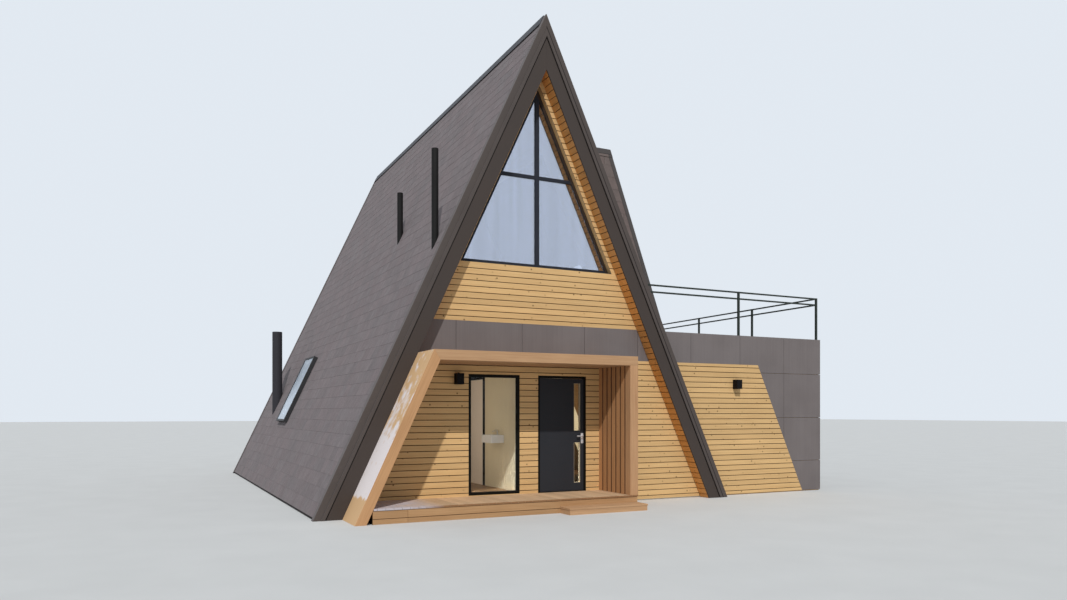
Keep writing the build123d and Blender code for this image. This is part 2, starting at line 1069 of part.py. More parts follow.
with BuildPart() as rails:
    for level in rail_levels:
        heights = (level, level + rail_size)
        for line in (rail_front, rail_back):
            depths = (line - rail_size / 2, line + rail_size / 2)
            block((middle_post_x + half_post, rail_x - half_post), depths, heights)
            prism(
                [
                    (rake_x(level), level),
                    (middle_post_x - half_post, level),
                    (middle_post_x - half_post, level + rail_size),
                    (rake_x(level + rail_size), level + rail_size),
                ],
                depths[0],
                depths[1],
            )
        for number in range(3):
            bay_front = rail_front + number * side_step
            block(
                (rail_x - rail_size / 2, rail_x + rail_size / 2),
                (bay_front + half_post, bay_front + side_step - half_post),
                heights,
            )
finish(rails, "rails")

# Dormer

dormer_slope = atan2(dormer_top - loft_level, dormer_foot_reach - dormer_reach)


def dormer_x(height, inset=0):
    """Outer face of the dormer at a height, or a plane inside it."""
    return dormer_reach + (dormer_top - height) / tan(dormer_slope) - inset / sin(dormer_slope)


cheek = [
    (rake_x(loft_level, roof_thickness), loft_level),
    (dormer_x(loft_level), loft_level),
    (dormer_x(dormer_underside), dormer_underside),
    (rake_x(dormer_underside, roof_thickness), dormer_underside),
]

with BuildPart() as dormer_cheeks:
    prism(cheek, dormer_front, dormer_front + dormer_wall_thickness)
    prism(cheek, dormer_back - dormer_wall_thickness, dormer_back)
finish(dormer_cheeks, "dormer_cheeks")

with BuildPart() as dormer_roof:
    prism(
        [
            (rake_x(dormer_underside, shingle_thickness), dormer_underside),
            (dormer_x(dormer_underside), dormer_underside),
            (dormer_x(dormer_top), dormer_top),
            (rake_x(dormer_top, shingle_thickness), dormer_top),
        ],
        dormer_front,
        dormer_back,
    )
finish(dormer_roof, "dormer_roof")

dormer_face = Plane(
    origin=(dormer_x(loft_level), (dormer_front + dormer_back) / 2, loft_level),
    x_dir=(0, 1, 0),
    z_dir=(sin(dormer_slope), 0, cos(dormer_slope)),
)

with BuildPart() as dormer_wall:
    prism(
        [
            (dormer_x(loft_level), loft_level),
            (dormer_x(dormer_underside), dormer_underside),
            (dormer_x(dormer_underside, dormer_wall_thickness), dormer_underside),
            (dormer_x(loft_level, dormer_wall_thickness), loft_level),
        ],
        dormer_front + dormer_wall_thickness,
        dormer_back - dormer_wall_thickness,
    )
    with BuildSketch(dormer_face) as terrace_opening:
        with Locations((0, terrace_sill)):
            Rectangle(
                terrace_door_width,
                terrace_door_height,
                align=(Align.CENTER, Align.MIN),
            )
    extrude(terrace_opening.sketch, amount=-2 * dormer_wall_thickness, mode=Mode.SUBTRACT)
finish(dormer_wall, "dormer_wall")

terrace_pane_shift = terrace_door_width / 4 - window_bar / 4
terrace_pane_places = [
    (side * terrace_pane_shift, terrace_sill + window_bar) for side in (-1, 1)
]

with BuildPart() as terrace_door_frame:
    with BuildSketch(dormer_face.offset(-40)) as terrace_ring:
        with Locations((0, terrace_sill)):
            Rectangle(terrace_door_width, terrace_door_height, align=(Align.CENTER, Align.MIN))
        with Locations(*terrace_pane_places):
            Rectangle(
                terrace_door_width / 2 - 1.5 * window_bar,
                terrace_door_height - 2 * window_bar,
                align=(Align.CENTER, Align.MIN),
                mode=Mode.SUBTRACT,
            )
    extrude(terrace_ring.sketch, amount=-window_bar_depth)
finish(terrace_door_frame, "terrace_door_frame")

with BuildPart() as terrace_door_glass:
    with BuildSketch(dormer_face.offset(-60)) as terrace_panes:
        with Locations(*terrace_pane_places):
            Rectangle(
                terrace_door_width / 2 - 1.5 * window_bar,
                terrace_door_height - 2 * window_bar,
                align=(Align.CENTER, Align.MIN),
            )
    extrude(terrace_panes.sketch, amount=-glass_thickness)
finish(terrace_door_glass, "terrace_door_glass")

# Fittings on the left slope

with BuildPart() as flue_pipes:
    for place, radius, top in zip(flue_places, flue_radii, flue_tops):
        with BuildSketch(Plane.XY.offset(top)):
            with Locations((place[0], front_face + place[1])):
                Circle(radius)
        extrude(amount=-top)
    prism(
        [(-roof_half_width, 0), (0, 0), (0, ridge_height)],
        front_edge,
        back_edge,
        Mode.SUBTRACT,
    )
finish(flue_pipes, "flue_pipes")

with BuildPart() as skylight_frame:
    with BuildSketch(left_slope.offset(skylight_rise)) as skylight_ring:
        with Locations(skylight_place):
            Rectangle(skylight_width, skylight_length)
            Rectangle(
                skylight_width - 2 * skylight_bar,
                skylight_length - 2 * skylight_bar,
                mode=Mode.SUBTRACT,
            )
    extrude(skylight_ring.sketch, amount=-(skylight_rise + roof_thickness))
finish(skylight_frame, "skylight_frame")

with BuildPart() as skylight_glass:
    with BuildSketch(left_slope.offset(skylight_rise - 10)) as skylight_pane:
        with Locations(skylight_place):
            Rectangle(skylight_width - 2 * skylight_bar, skylight_length - 2 * skylight_bar)
    extrude(skylight_pane.sketch, amount=-glass_thickness)
finish(skylight_glass, "skylight_glass")

# Wash room behind the fixed window: a partition with a closed inner door, and a basin

partition_back_face = partition_face + partition_thickness
inner_door_front = front_face + inner_door_setback
inner_door_back = inner_door_front + inner_door_width
inner_door_top = floor_level + inner_door_height
inner_leaf_face = partition_face + inner_leaf_setback

with BuildPart() as partition_wall:
    block(
        (partition_face, partition_back_face),
        (front_inside, front_inside + partition_length),
        (floor_level, loft_underside),
    )
    block(
        (partition_face, partition_back_face),
        (inner_door_front, inner_door_back),
        (floor_level, inner_door_top),
        Mode.SUBTRACT,
    )
finish(partition_wall, "partition_wall")

with BuildPart() as inner_door_frame:
    block(
        (partition_face, partition_back_face),
        (inner_door_front, inner_door_back),
        (floor_level, inner_door_top),
    )
    block(
        (partition_face, partition_back_face),
        (inner_door_front + inner_door_bar, inner_door_back - inner_door_bar),
        (floor_level, inner_door_top - inner_door_bar),
        Mode.SUBTRACT,
    )
finish(inner_door_frame, "inner_door_frame")

with BuildPart() as inner_door:
    block(
        (inner_leaf_face, inner_leaf_face + inner_leaf_thickness),
        (inner_door_front + inner_door_bar, inner_door_back - inner_door_bar),
        (floor_level, inner_door_top - inner_door_bar),
    )
finish(inner_door, "inner_door")

basin_place = (partition_face, front_face + basin_setback)
bowl_depth = basin_depth - basin_ledge - basin_wall

with BuildPart() as wash_basin:
    with BuildSketch(Plane.XY.offset(basin_top - basin_height)) as basin_outline:
        with Locations(basin_place):
            Rectangle(basin_depth, basin_length, align=(Align.MAX, Align.MIN))
        fillet(basin_outline.vertices().group_by(Axis.X)[0], basin_round)
    extrude(amount=basin_height)
    with BuildSketch(Plane.XY.offset(basin_top)):
        with Locations(
            (
                partition_face - basin_ledge - bowl_depth / 2,
                basin_place[1] + basin_length / 2,
            )
        ):
            RectangleRounded(bowl_depth, basin_length - 2 * basin_wall, basin_round)
    extrude(amount=-(basin_height - basin_wall), mode=Mode.SUBTRACT)
finish(wash_basin, "wash_basin")
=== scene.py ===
import math

import bpy
import numpy as np
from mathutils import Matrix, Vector


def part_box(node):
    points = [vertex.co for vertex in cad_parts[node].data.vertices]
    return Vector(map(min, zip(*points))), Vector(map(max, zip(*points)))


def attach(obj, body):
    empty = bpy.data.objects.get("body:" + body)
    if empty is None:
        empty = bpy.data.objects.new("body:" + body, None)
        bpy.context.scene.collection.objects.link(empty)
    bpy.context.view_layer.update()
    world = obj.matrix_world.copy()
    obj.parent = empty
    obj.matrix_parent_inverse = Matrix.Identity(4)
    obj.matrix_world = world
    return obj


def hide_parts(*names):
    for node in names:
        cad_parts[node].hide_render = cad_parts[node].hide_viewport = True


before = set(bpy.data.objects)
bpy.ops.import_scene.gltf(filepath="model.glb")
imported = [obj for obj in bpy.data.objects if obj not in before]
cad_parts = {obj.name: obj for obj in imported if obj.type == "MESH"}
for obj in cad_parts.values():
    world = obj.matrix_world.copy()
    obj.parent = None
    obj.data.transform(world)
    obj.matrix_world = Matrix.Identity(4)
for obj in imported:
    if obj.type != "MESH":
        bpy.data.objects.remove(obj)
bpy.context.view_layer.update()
scene = bpy.context.scene
chance = np.random.default_rng(11)

# Sizes in metres, most of them read from the CAD frame


def span(node):
    """Lowest and highest corner of a CAD node, as arrays."""
    low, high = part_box(node)
    return np.array(low), np.array(high)


def ends_of(node, axis):
    """Lowest and highest value of a CAD node on one axis."""
    low, high = span(node)
    return low[axis], high[axis]


Y, Z = 1, 2
FRONT, BACK = -1, 1
SHINGLE, ROOF, LINING = 0.030, 0.390, 0.020
LINED = ROOF + LINING
BOARD, BOARD_GAP, FIRST_GROOVE, BOARD_EASE = 0.106, 0.013, 0.0848, 0.0012
TONGUE, TONGUE_EASE, SHEET_EASE = 0.007, 0.0004, 0.0005
# The tint that paints a part near black as shade, in grooves and gaps
PAINTED_GROOVE_SHADE = -1.0
FAR_BELOW = -1.0
WINDOW_LEFT, WINDOW_RIGHT = -1.382, -0.398

structure_low, structure_high = span("left_roof")
pitch = math.atan2(structure_high[2], -structure_low[0])
SIN, COS, TAN = math.sin(pitch), math.cos(pitch), math.tan(pitch)
ridge_height = structure_high[2] + SHINGLE / COS
half_width = -structure_low[0] + SHINGLE / SIN
roof_front, roof_back = structure_low[1], structure_high[1]

front_face, front_core = ends_of("front_boards", Y)
back_core, back_face = ends_of("back_boards", Y)
cladding_foot = span("front_boards")[0][2]
cladding = front_core - front_face
band_low, band_high = ends_of("gable_band", Z)
door_low, door_high = span("door_frame")
floor_level, opening_top = door_low[2], door_high[2]
gable_sill, gable_peak = ends_of("gable_window_frames", Z)
leaf_front, leaf_back = ends_of("door_leaf", Y)
top_low, top_high = span("porch_top")
porch_front, porch_right = top_low[1], top_high[0]
porch_member = top_high[2] - top_low[2]
deck_under, deck_level = ends_of("deck_boards", Z)
annex_back = span("annex_panels")[1][1]
dormer_low, dormer_high = span("dormer_cheeks")
dormer_under, dormer_top = ends_of("dormer_roof", Z)


def rake_x(height, inset=0.0):
    """Distance from the ridge plane to a plane below the roof surface, at a height."""
    return (ridge_height - height) / TAN - inset / SIN


# Outlines and planes


def rectangle(left, right, low, high):
    """An outline anticlockwise from its low left corner."""
    return [(left, low), (right, low), (right, high), (left, high)]


def slanted(left, right, low, high):
    """An outline between two levels, whose ends are functions of the level."""
    return [(left(low), low), (right(low), low), (right(high), high), (left(high), high)]


def mirrored(outline):
    """An outline on the other side of the ridge plane, anticlockwise too."""
    return [(-x, z) for x, z in reversed(outline)]


def face(origin, up, out):
    """A plane to build on: its origin, its two directions and the direction off it."""
    up, out = np.array(up, float), np.array(out, float)
    return np.array(origin, float), np.cross(up, out), up, out


def upright(place, side=FRONT):
    """The plane across the house at a place along it, which looks to the front or the back."""
    return face((0, place, 0), (0, 0, 1), (0, side, 0))


def slope(side, inset):
    """A plane under one roof slope. Its origin lies square below the slope's foot line."""
    out = np.array([side * SIN, 0.0, COS])
    return face(np.array([side * half_width, 0.0, 0.0]) - inset * out, (-side * COS, 0, SIN), out)


def slope_level(height, inset=SHINGLE):
    """Distance up a slope's plane at which its outer face reaches a height."""
    return (height + inset * COS) / SIN


# Shapes, as whole arrays


def corner_moves(outlines):
    """For each corner of each outline, (n1 + n2) / (1 + n1·n2), with n1 and n2 the inward
    normals of the two edges that meet there: the move that shifts both edges inwards by one."""
    edges = np.roll(outlines, -1, 1) - outlines
    normals = np.stack([-edges[..., 1], edges[..., 0]], -1)
    normals /= np.linalg.norm(normals, axis=-1, keepdims=True)
    before = np.roll(normals, 1, 1)
    return (before + normals) / (1 + (before * normals).sum(-1, keepdims=True))


def moulded(on, outlines, profile, rise=None, ring=False):
    """A profile carried round flat outlines with mitred corners. Corner (u, v) goes to
    origin + (u, v + a·move) in the plane + w·out for each profile point (a, w). A ring is
    closed along its profile, and anything else gets a flat face at both ends of it.
    rise adds to w at each corner, on every profile point but the first."""
    outlines = np.asarray(outlines, float)
    profile = np.asarray(profile, float)
    count, corners = outlines.shape[:2]
    steps = len(profile)
    flat = outlines[:, None] + profile[None, :, None, :1] * corner_moves(outlines)[:, None]
    off = np.broadcast_to(profile[None, :, 1, None], (count, steps, corners)).copy()
    if rise is not None:
        off[:, 1:] += rise[:, None, :]
    origin, across, up, out = on
    points = origin + flat[..., :1] * across + flat[..., 1:] * up + off[..., None] * out
    index = np.arange(count * steps * corners).reshape(count, steps, corners)
    turned_on = np.roll(index, -1, 2)
    quads = np.stack([index, turned_on, np.roll(turned_on, -1, 1), np.roll(index, -1, 1)], -1)
    faces = [(quads if ring else quads[:, :-1]).reshape(-1, 4)]
    if not ring:
        faces += [index[:, 0, ::-1], index[:, -1]]
    tints = np.repeat(chance.random(count), steps * corners)
    return points.reshape(-1, 3), faces, tints


def plates(on, outlines, thickness, ease=0.002, rise=None, base=0.0):
    """Flat boards or sheets on one plane, with eased front edges."""
    profile = [(0, base), (0, thickness - ease), (ease, thickness)]
    return moulded(on, outlines, profile, rise)


def tube_wall(depth, wall):
    """The profile of a ring that lines an opening: its wall and its depth."""
    return [(0, 0), (0, depth), (wall, depth), (wall, 0)]


def bars(*boxes):
    """Square-edged bars between a low and a high corner: eight corners and six faces each."""
    boxes = np.array(boxes, float).reshape(-1, 2, 3)
    low, high = boxes[:, 0], boxes[:, 1]
    corners = np.array([(x, y, z) for z in (0, 1) for x, y in rectangle(0, 1, 0, 1)])
    points = low[:, None] + corners * (high - low)[:, None]
    faces = np.array(
        [(3, 2, 1, 0), (4, 5, 6, 7), (0, 1, 5, 4), (1, 2, 6, 5), (2, 3, 7, 6), (3, 0, 4, 7)]
    )
    quads = faces + 8 * np.arange(len(boxes))[:, None, None]
    return points.reshape(-1, 3), [quads.reshape(-1, 4)], np.repeat(chance.random(len(boxes)), 8)


def circle(first, second, steps):
    """The points cos t · first + sin t · second, at equal steps of the angle t."""
    angles = np.linspace(0, 2 * np.pi, steps, endpoint=False)[:, None]
    return np.cos(angles) * first + np.sin(angles) * second


def ringed(points):
    """Rings of points as a closed skin: quads between neighbours and a flat face at each end."""
    rings, steps = points.shape[:2]
    index = np.arange(rings * steps).reshape(rings, steps)
    on = np.roll(index, -1, 1)
    quads = np.stack([index[:-1], on[:-1], on[1:], index[1:]], -1).reshape(-1, 4)
    faces = [quads, index[:1, ::-1], index[-1:]]
    return points.reshape(-1, 3), faces, np.full(rings * steps, chance.random())


def turned(origin, axis, profile, steps=48):
    """A profile turned about an axis: radius r and height h at angle t go to
    origin + r·(cos t · e1 + sin t · e2) + h·axis."""
    axis = np.array(axis, float)
    side = np.cross(axis, (1.0, 0, 0))
    profile = np.asarray(profile, float)
    spokes = circle(side, np.cross(axis, side), steps)
    return ringed(np.array(origin) + profile[:, None, :1] * spokes + profile[:, None, 1:] * axis)


def tube(path, radius, steps=24):
    """A round section carried along a path of points, its frame turned with the path:
    each ring is point + radius·(cos t · e1 + sin t · e2), with e1 square to the tangent."""
    tangents = np.gradient(path, axis=0)
    tangents /= np.linalg.norm(tangents, axis=1, keepdims=True)
    steep = abs(tangents[:, 2]).max() >= 0.8
    first = np.cross(tangents, (0, 1.0, 0) if steep else (0.31, 0.17, 0.93))
    first /= np.linalg.norm(first, axis=1, keepdims=True)
    second = np.cross(tangents, first)
    return ringed(path[:, None] + radius * circle(first[:, None], second[:, None], steps))


# Boards between slanted ends


def levels(low, high, first, module, least=0.012):
    """Groove lines at a module, between a low and a high level, with both levels added."""
    start = math.ceil((low + least - first) / module)
    end = math.floor((high - least - first) / module)
    return np.concatenate([[low], first + module * np.arange(start, end + 1), [high]])


def strips(lines, gap, left, right):
    """Boards between neighbouring lines, as rows of left low, left high, right low, right high,
    low and high. left and right give the ends' place at a level."""
    low, high = lines[:-1] + gap / 2, lines[1:] - gap / 2
    low[0] -= gap / 2
    high[-1] += gap / 2
    return np.stack([left(low), left(high), right(low), right(high), low, high], -1)


def constant(value):
    """An end that stands upright."""
    return lambda level: np.full_like(level, value)


def opposite(end):
    """The same end on the other side of the ridge plane."""
    return lambda level: -end(level)


def around(rows, opening, least=0.004):
    """Boards parted round an opening. What lies beside it keeps its height, and between its
    two sides only what is below and above it stays."""
    left, right, low, high = opening
    touched = (
        (rows[:, 5] > low + least)
        & (rows[:, 4] < high - least)
        & (rows[:, 2:4].max(1) > left + least)
        & (rows[:, :2].min(1) < right - least)
    )
    parts = [rows[~touched]]
    far = 1e3
    for u0, u1, v0, v1 in (
        (-far, left, -far, far),
        (right, far, -far, far),
        (left, right, -far, low),
        (left, right, high, far),
    ):
        part = rows[touched].copy()
        part[:, :4] = np.clip(part[:, :4], u0, u1)
        part[:, 4:6] = np.clip(part[:, 4:6], v0, v1)
        wide = (part[:, 2:4] - part[:, :2]).min(1) > least
        tall = part[:, 5] - part[:, 4] > least
        parts.append(part[wide & tall])
    return np.concatenate(parts)


def quads_of(rows):
    """The four corners of each board, anticlockwise from its low left end."""
    l0, l1, r0, r1, low, high = rows[:, :6].T
    corners = ((l0, low), (r0, low), (r1, high), (l1, high))
    return np.stack([np.stack(corner, -1) for corner in corners], 1)


def parted(rows, joints_of, gap, least=0.05):
    """Rows cut across at joints: joints_of gives the joints of a row from its number."""
    out = []
    for number, row in enumerate(rows):
        joints = joints_of(number)
        inside = joints[(joints > row[:2].max() + least) & (joints < row[2:4].min() - least)]
        ends = np.repeat(row[None], len(inside) + 1, 0)
        ends[1:, 0] = ends[1:, 1] = inside + gap / 2
        ends[:-1, 2] = ends[:-1, 3] = inside - gap / 2
        out.append(ends)
    return np.concatenate(out)


def shade_painted(part):
    """The same part with the tint that paints it dark as shade, as in the bottom of a groove."""
    points, faces, tints = part
    return points, faces, np.full_like(tints, PAINTED_GROOVE_SHADE)


def grooved(on, rows_at, thickness):
    """Boards with an open groove between them, over a tongue that closes the groove and is painted
    dark as shade. rows_at gives the rows at a width of the groove."""
    boards = plates(on, quads_of(rows_at(BOARD_GAP)), thickness, BOARD_EASE)
    return [boards, shade_painted(plates(on, quads_of(rows_at(0.0)), TONGUE, TONGUE_EASE))]


# Objects and pieces


def stood(name, data, place=(0, 0, 0), towards=None):
    """An object in the scene. towards is the direction in which a lamp shines."""
    item = bpy.data.objects.new(name, data)
    item.location = place
    if towards:
        item.rotation_euler = Vector(towards).to_track_quat("-Z", "Y").to_euler()
    scene.collection.objects.link(item)
    return item


def piece(name, parts, finish, stands_for=(), body="cabin", smooth_angle=None):
    """One object from sets of points, faces and tints. It rides on a body and stands for the CAD
    nodes given, which it hides."""
    points = np.concatenate([p[0] for p in parts])
    tints = np.concatenate([p[2] for p in parts])
    starts = np.cumsum([0] + [len(p[0]) for p in parts[:-1]])
    blocks = [block + start for part, start in zip(parts, starts) for block in part[1]]
    corners = np.concatenate([block.ravel() for block in blocks])
    sizes = np.concatenate([np.full(len(block), block.shape[1]) for block in blocks])
    mesh = bpy.data.meshes.new(name)
    mesh.vertices.add(len(points))
    mesh.vertices.foreach_set("co", points.astype(np.float32).ravel())
    mesh.loops.add(len(corners))
    mesh.loops.foreach_set("vertex_index", corners.astype(np.int32))
    mesh.polygons.add(len(sizes))
    mesh.polygons.foreach_set("loop_start", (np.cumsum(sizes) - sizes).astype(np.int32))
    mesh.update(calc_edges=True)
    tint = mesh.attributes.new("tint", "FLOAT", "POINT")
    tint.data.foreach_set("value", tints.astype(np.float32))
    mesh.polygons.foreach_set("use_smooth", np.full(len(sizes), smooth_angle is not None))
    if smooth_angle is not None:
        mesh.set_sharp_from_angle(angle=math.radians(smooth_angle))
    mesh.materials.append(finish)
    item = stood(name, mesh)
    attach(item, body)
    if stands_for:
        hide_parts(*stands_for)
    return item


def eased(item, width=0.002):
    """Rounds a piece's sharp edges with a bevel."""
    bevel = item.modifiers.new("eased edges", "BEVEL")
    bevel.width = width
    bevel.segments = 2
    bevel.limit_method = "ANGLE"
    bevel.angle_limit = math.radians(30)


# Finishes, as node recipes


def paint(red, green, blue):
    """A colour written as it looks on screen, made linear."""
    values = np.array([red, green, blue]) / 255
    linear = np.where(values <= 0.04045, values / 12.92, ((values + 0.055) / 1.055) ** 2.4)
    return (*linear, 1.0)


def darker(colour, share):
    """A share of a colour."""
    return (*(share * value for value in colour[:3]), 1.0)


class Nodes:
    """A node tree, built node by node."""

    def __init__(self, tree):
        self.tree = tree

    def node(self, kind, inputs=None, **settings):
        made = self.tree.nodes.new("ShaderNode" + kind)
        for key, value in settings.items():
            setattr(made, key, value)
        for key, value in (inputs or {}).items():
            if isinstance(value, bpy.types.NodeSocket):
                self.tree.links.new(value, made.inputs[key])
            else:
                made.inputs[key].default_value = value
        return made

    def maths(self, operation, first, second=0.0, clamp=False):
        made = self.node("Math", {0: first, 1: second}, operation=operation)
        made.use_clamp = clamp
        return made.outputs[0]

    def plus(self, first, second):
        return self.maths("ADD", first, second)

    def times(self, first, second):
        return self.maths("MULTIPLY", first, second)


class Recipe(Nodes):
    """A material built node by node round one Principled shader."""

    def __init__(self, name, **sockets):
        self.material = bpy.data.materials.new(name)
        self.material.use_nodes = True
        super().__init__(self.material.node_tree)
        self.shader = self.tree.nodes["Principled BSDF"]
        for socket, value in sockets.items():
            self.shader.inputs[socket.replace("_", " ")].default_value = value
        coordinates = self.node("TexCoord").outputs
        self.place, self.facing = coordinates["Object"], coordinates["Normal"]

    def axis(self, place, letter):
        return self.node("SeparateXYZ", {0: place}).outputs[letter]

    def tint(self):
        """The value from 0 to 1 that each board or tile carries."""
        return self.node("Attribute", attribute_name="tint").outputs["Fac"]

    def moved_by_piece(self, place, far=37.0):
        """The place, moved on for each board so that no two share their grain."""
        step = self.node("CombineXYZ", dict.fromkeys(range(3), self.tint())).outputs[0]
        moved = self.node("VectorMath", {0: step, 3: far}, operation="SCALE").outputs[0]
        return self.node("VectorMath", {0: place, 1: moved}, operation="ADD").outputs[0]

    def stretched(self, place, lengths, turn=(0, 0, 0)):
        """The place turned, then divided by a length on each axis."""
        inputs = {"Vector": place, "Rotation": turn, "Scale": lengths}
        return self.node("Mapping", inputs, vector_type="TEXTURE").outputs[0]

    def noise(self, scale=1.0, detail=2.0, roughness=0.5, place=None):
        """Noise at the object's own place, or at a place that is given."""
        inputs = {"Vector": place or self.place, "Scale": scale}
        inputs.update(Detail=detail, Roughness=roughness)
        return self.node("TexNoise", inputs).outputs["Fac"]

    def between(self, value, low, high, to_low=0.0, to_high=1.0):
        """A value's range from low to high, carried over to another range."""
        inputs = {0: value, 1: low, 2: high, 3: to_low, 4: to_high}
        return self.node("MapRange", inputs).outputs[0]

    def spread(self, noise, low=0.0, high=1.0):
        """The range in which most of a noise lies, carried over to another range."""
        return self.between(noise, 0.3, 0.7, low, high)

    def ramp(self, value, dark, pale):
        """The dark tone at 0, the pale one at 1."""
        made = self.node("ValToRGB", {"Fac": value})
        for element, colour in zip(made.color_ramp.elements, (dark, pale)):
            element.color = colour
        return made.outputs["Color"]

    def cloudy(self, colour, noise, flow):
        """A colour that a noise makes darker and lighter by a share of it."""
        return self.ramp(self.spread(noise), darker(colour, 1 - flow), darker(colour, 1 + flow))

    def mixed(self, share, first, second, blend="MIX"):
        made = self.node("Mix", {0: share, 6: first, 7: second}, data_type="RGBA")
        made.blend_type = blend
        return made.outputs[2]

    def shaded(self, colour, value, low, high):
        """A colour made darker or lighter between two levels by a value from 0 to 1."""
        grey = self.between(value, 0.0, 1.0, low, high)
        level = self.node("CombineXYZ", dict.fromkeys(range(3), grey)).outputs[0]
        return self.mixed(1.0, colour, level, "MULTIPLY")

    def changed(self, tone, changes):
        """The tone with its changes: each gives its share of the surface and its colour."""
        for share_of, colour in changes:
            tone = self.mixed(share_of(self), tone, colour)
        return tone

    def finished(self, colour, height, depth, strength, roughness=None):
        """The material, with colour, bump and roughness linked to its shader."""
        bump = self.node("Bump", {"Height": height, "Distance": depth, "Strength": strength})
        links = {"Base Color": colour, "Normal": bump.outputs[0], "Roughness": roughness}
        for socket, value in links.items():
            if value is not None:
                self.tree.links.new(value, self.shader.inputs[socket])
        return self.material


def timber(name, dark, pale, lengths, *changes, turn=(0, 0, 0), knots=0.12, tones=(0.93, 1.05)):
    """Sawn softwood: growth streaks drawn out along the grain, slow changes of tone, small
    round knots, its own stretch of wood and tone for each board, and painted shade that
    makes each tongue at the bottom of a groove near black."""
    wood = Recipe(name, Specular_IOR_Level=0.3)
    own = wood.moved_by_piece(wood.place)
    along = wood.stretched(own, lengths, turn)
    broad = wood.noise(1.0, 3.0, 0.6, along)
    streaks = wood.noise(3.0, 4.0, 0.62, along)
    pores = wood.noise(14.0, place=along)
    grain = wood.plus(wood.times(streaks, 0.6), wood.times(broad, 0.4))
    tone = wood.ramp(wood.spread(grain), dark, pale)
    if knots:
        cells = wood.node("TexVoronoi", {"Vector": own, "Scale": 7.0})
        from_knot = cells.outputs["Distance"]
        halo = wood.between(from_knot, knots * 0.6, knots * 1.4)
        core = wood.between(from_knot, knots * 0.45, knots * 0.75)
        tone = wood.mixed(halo, darker(dark, 0.78), tone)
        tone = wood.mixed(core, darker(dark, 0.2), tone)
    tone = wood.shaded(tone, wood.tint(), *tones)
    slow = wood.noise(1.3, 1.0, place=own)
    tone = wood.changed(wood.shaded(tone, wood.spread(slow), 0.96, 1.04), changes)
    # Painted shade: parts with the groove tint take a near-black share of the dark tone
    out_of_painted_shade = wood.between(wood.tint(), PAINTED_GROOVE_SHADE, 0.0)
    tone = wood.mixed(out_of_painted_shade, darker(dark, 0.12), tone)
    height = wood.plus(wood.times(streaks, 0.7), pores)
    return wood.finished(tone, height, 0.0005, 0.4, wood.spread(pores, 0.58, 0.78))


def facing(letter, low, high, most=1.0):
    """The share of a change from 0 to most, as a face turns to an axis."""
    return lambda made: made.between(made.axis(made.facing, letter), low, high, 0.0, most)


def beyond(letter, low, high):
    """The share of a change from 0 to 1, between two places on an axis."""
    return lambda made: made.between(made.axis(made.place, letter), low, high)


def shade_painted_ends(wood):
    """The faces that look out to the front and the back, painted darker as shade: the deck planks'
    ends and the slats' sides in the gaps between them.
    """
    return wood.between(wood.maths("ABSOLUTE", wood.axis(wood.facing, "Y")), 0.6, 0.9)


# The faces to the left, the leg's left side painted paler as a sunlit highlight, flashing on level
# cuts, and the trims' faces on the slopes painted paler as lit from above
outer_face = facing("X", -0.4, -0.8)
leg_side_highlight = facing("X", -0.4, -0.8, 0.65)
level_faces = facing("Z", 0.9, 0.98)
trim_top_highlight = facing("Z", 0.25, 0.35)
# The parapet above the side room's ceiling, and the big flue pipe left of the others
above_ceiling = beyond("Z", 2.9, 2.95)
big_flue = beyond("X", -2.6, -2.7)


def left_of_ridge(sheet):
    """Everything on the left slope, above its foot: there the painted shade of the grooves and the
    shadow line is made lighter.
    """
    return sheet.times(beyond("X", 0.0, -0.02)(sheet), beyond("Z", 0.08, 0.14)(sheet))


def leg_sky_glare(wood):
    """Painted sky reflection on the leg's outer side: pale over most of its lower half, and in
    patches above.
    """
    height = wood.axis(wood.place, "Z")
    own = wood.stretched(wood.place, (0.13, 0.13, 0.16), LEG_TURN)
    patches = wood.noise(1.0, 3.0, 0.55, own)
    needed = wood.plus(
        wood.between(height, 1.2, 1.5, 0.15, 0.43), wood.between(height, 1.7, 2.3, 0.0, 0.12)
    )
    needed = wood.plus(needed, wood.between(height, 0.42, 0.30, 0.0, 0.7))
    above = wood.maths("MULTIPLY", wood.maths("SUBTRACT", patches, needed), 4.5, clamp=True)
    return wood.times(outer_face(wood), above)


def deck_sky_glare(wood):
    """A pale painted sky reflection on the end of the deck, beside the leg."""
    patches = wood.noise(3.0, 3.0, 0.6)
    beside_leg = wood.between(wood.axis(wood.place, "X"), -2.2, -2.65)
    return wood.times(wood.times(beside_leg, wood.between(patches, 0.2, 0.5)), 0.9)


def mineral_shingle(name, dark, pale, warmer, contrast):
    """Mineral felt: granules of a few millimetres, clouds of tone, streaks down the slope and
    a tone for each tab. contrast is how far the tabs and the streaks differ."""
    felt = Recipe(name, Specular_IOR_Level=0.25)
    granules = felt.noise(320.0, 2.0, 0.7)
    clouds = felt.noise(6.0, 4.0, 0.6, felt.moved_by_piece(felt.place))
    tone = felt.ramp(felt.spread(clouds), dark, pale)
    warm = felt.maths("FRACT", felt.times(felt.tint(), 7.0))
    tone = felt.mixed(felt.between(warm, 0, 1, 0.0, 0.25), tone, warmer)
    tone = felt.shaded(tone, felt.tint(), 1 - contrast, 1 + contrast)
    streaks = felt.noise(1.0, 4.0, 0.7, felt.stretched(felt.place, (0.5, 0.012, 0.5)))
    tone = felt.shaded(tone, felt.spread(streaks), 1 - 2 * contrast, 1 + 2 * contrast)
    tone = felt.shaded(tone, felt.spread(granules), 0.84, 1.14)
    return felt.finished(tone, granules, 0.0012, 0.6, felt.spread(granules, 0.8, 0.96))


def along_gable_rake(sheet):
    """The right-hand slanted bar of a gable window: x near (peak - z) / tan."""
    drop = sheet.maths("SUBTRACT", gable_peak, sheet.axis(sheet.place, "Z"))
    rake = sheet.maths("DIVIDE", drop, TAN)
    inset = sheet.maths("SUBTRACT", rake, sheet.axis(sheet.place, "X"))
    return sheet.between(inset, 0.076, 0.068)


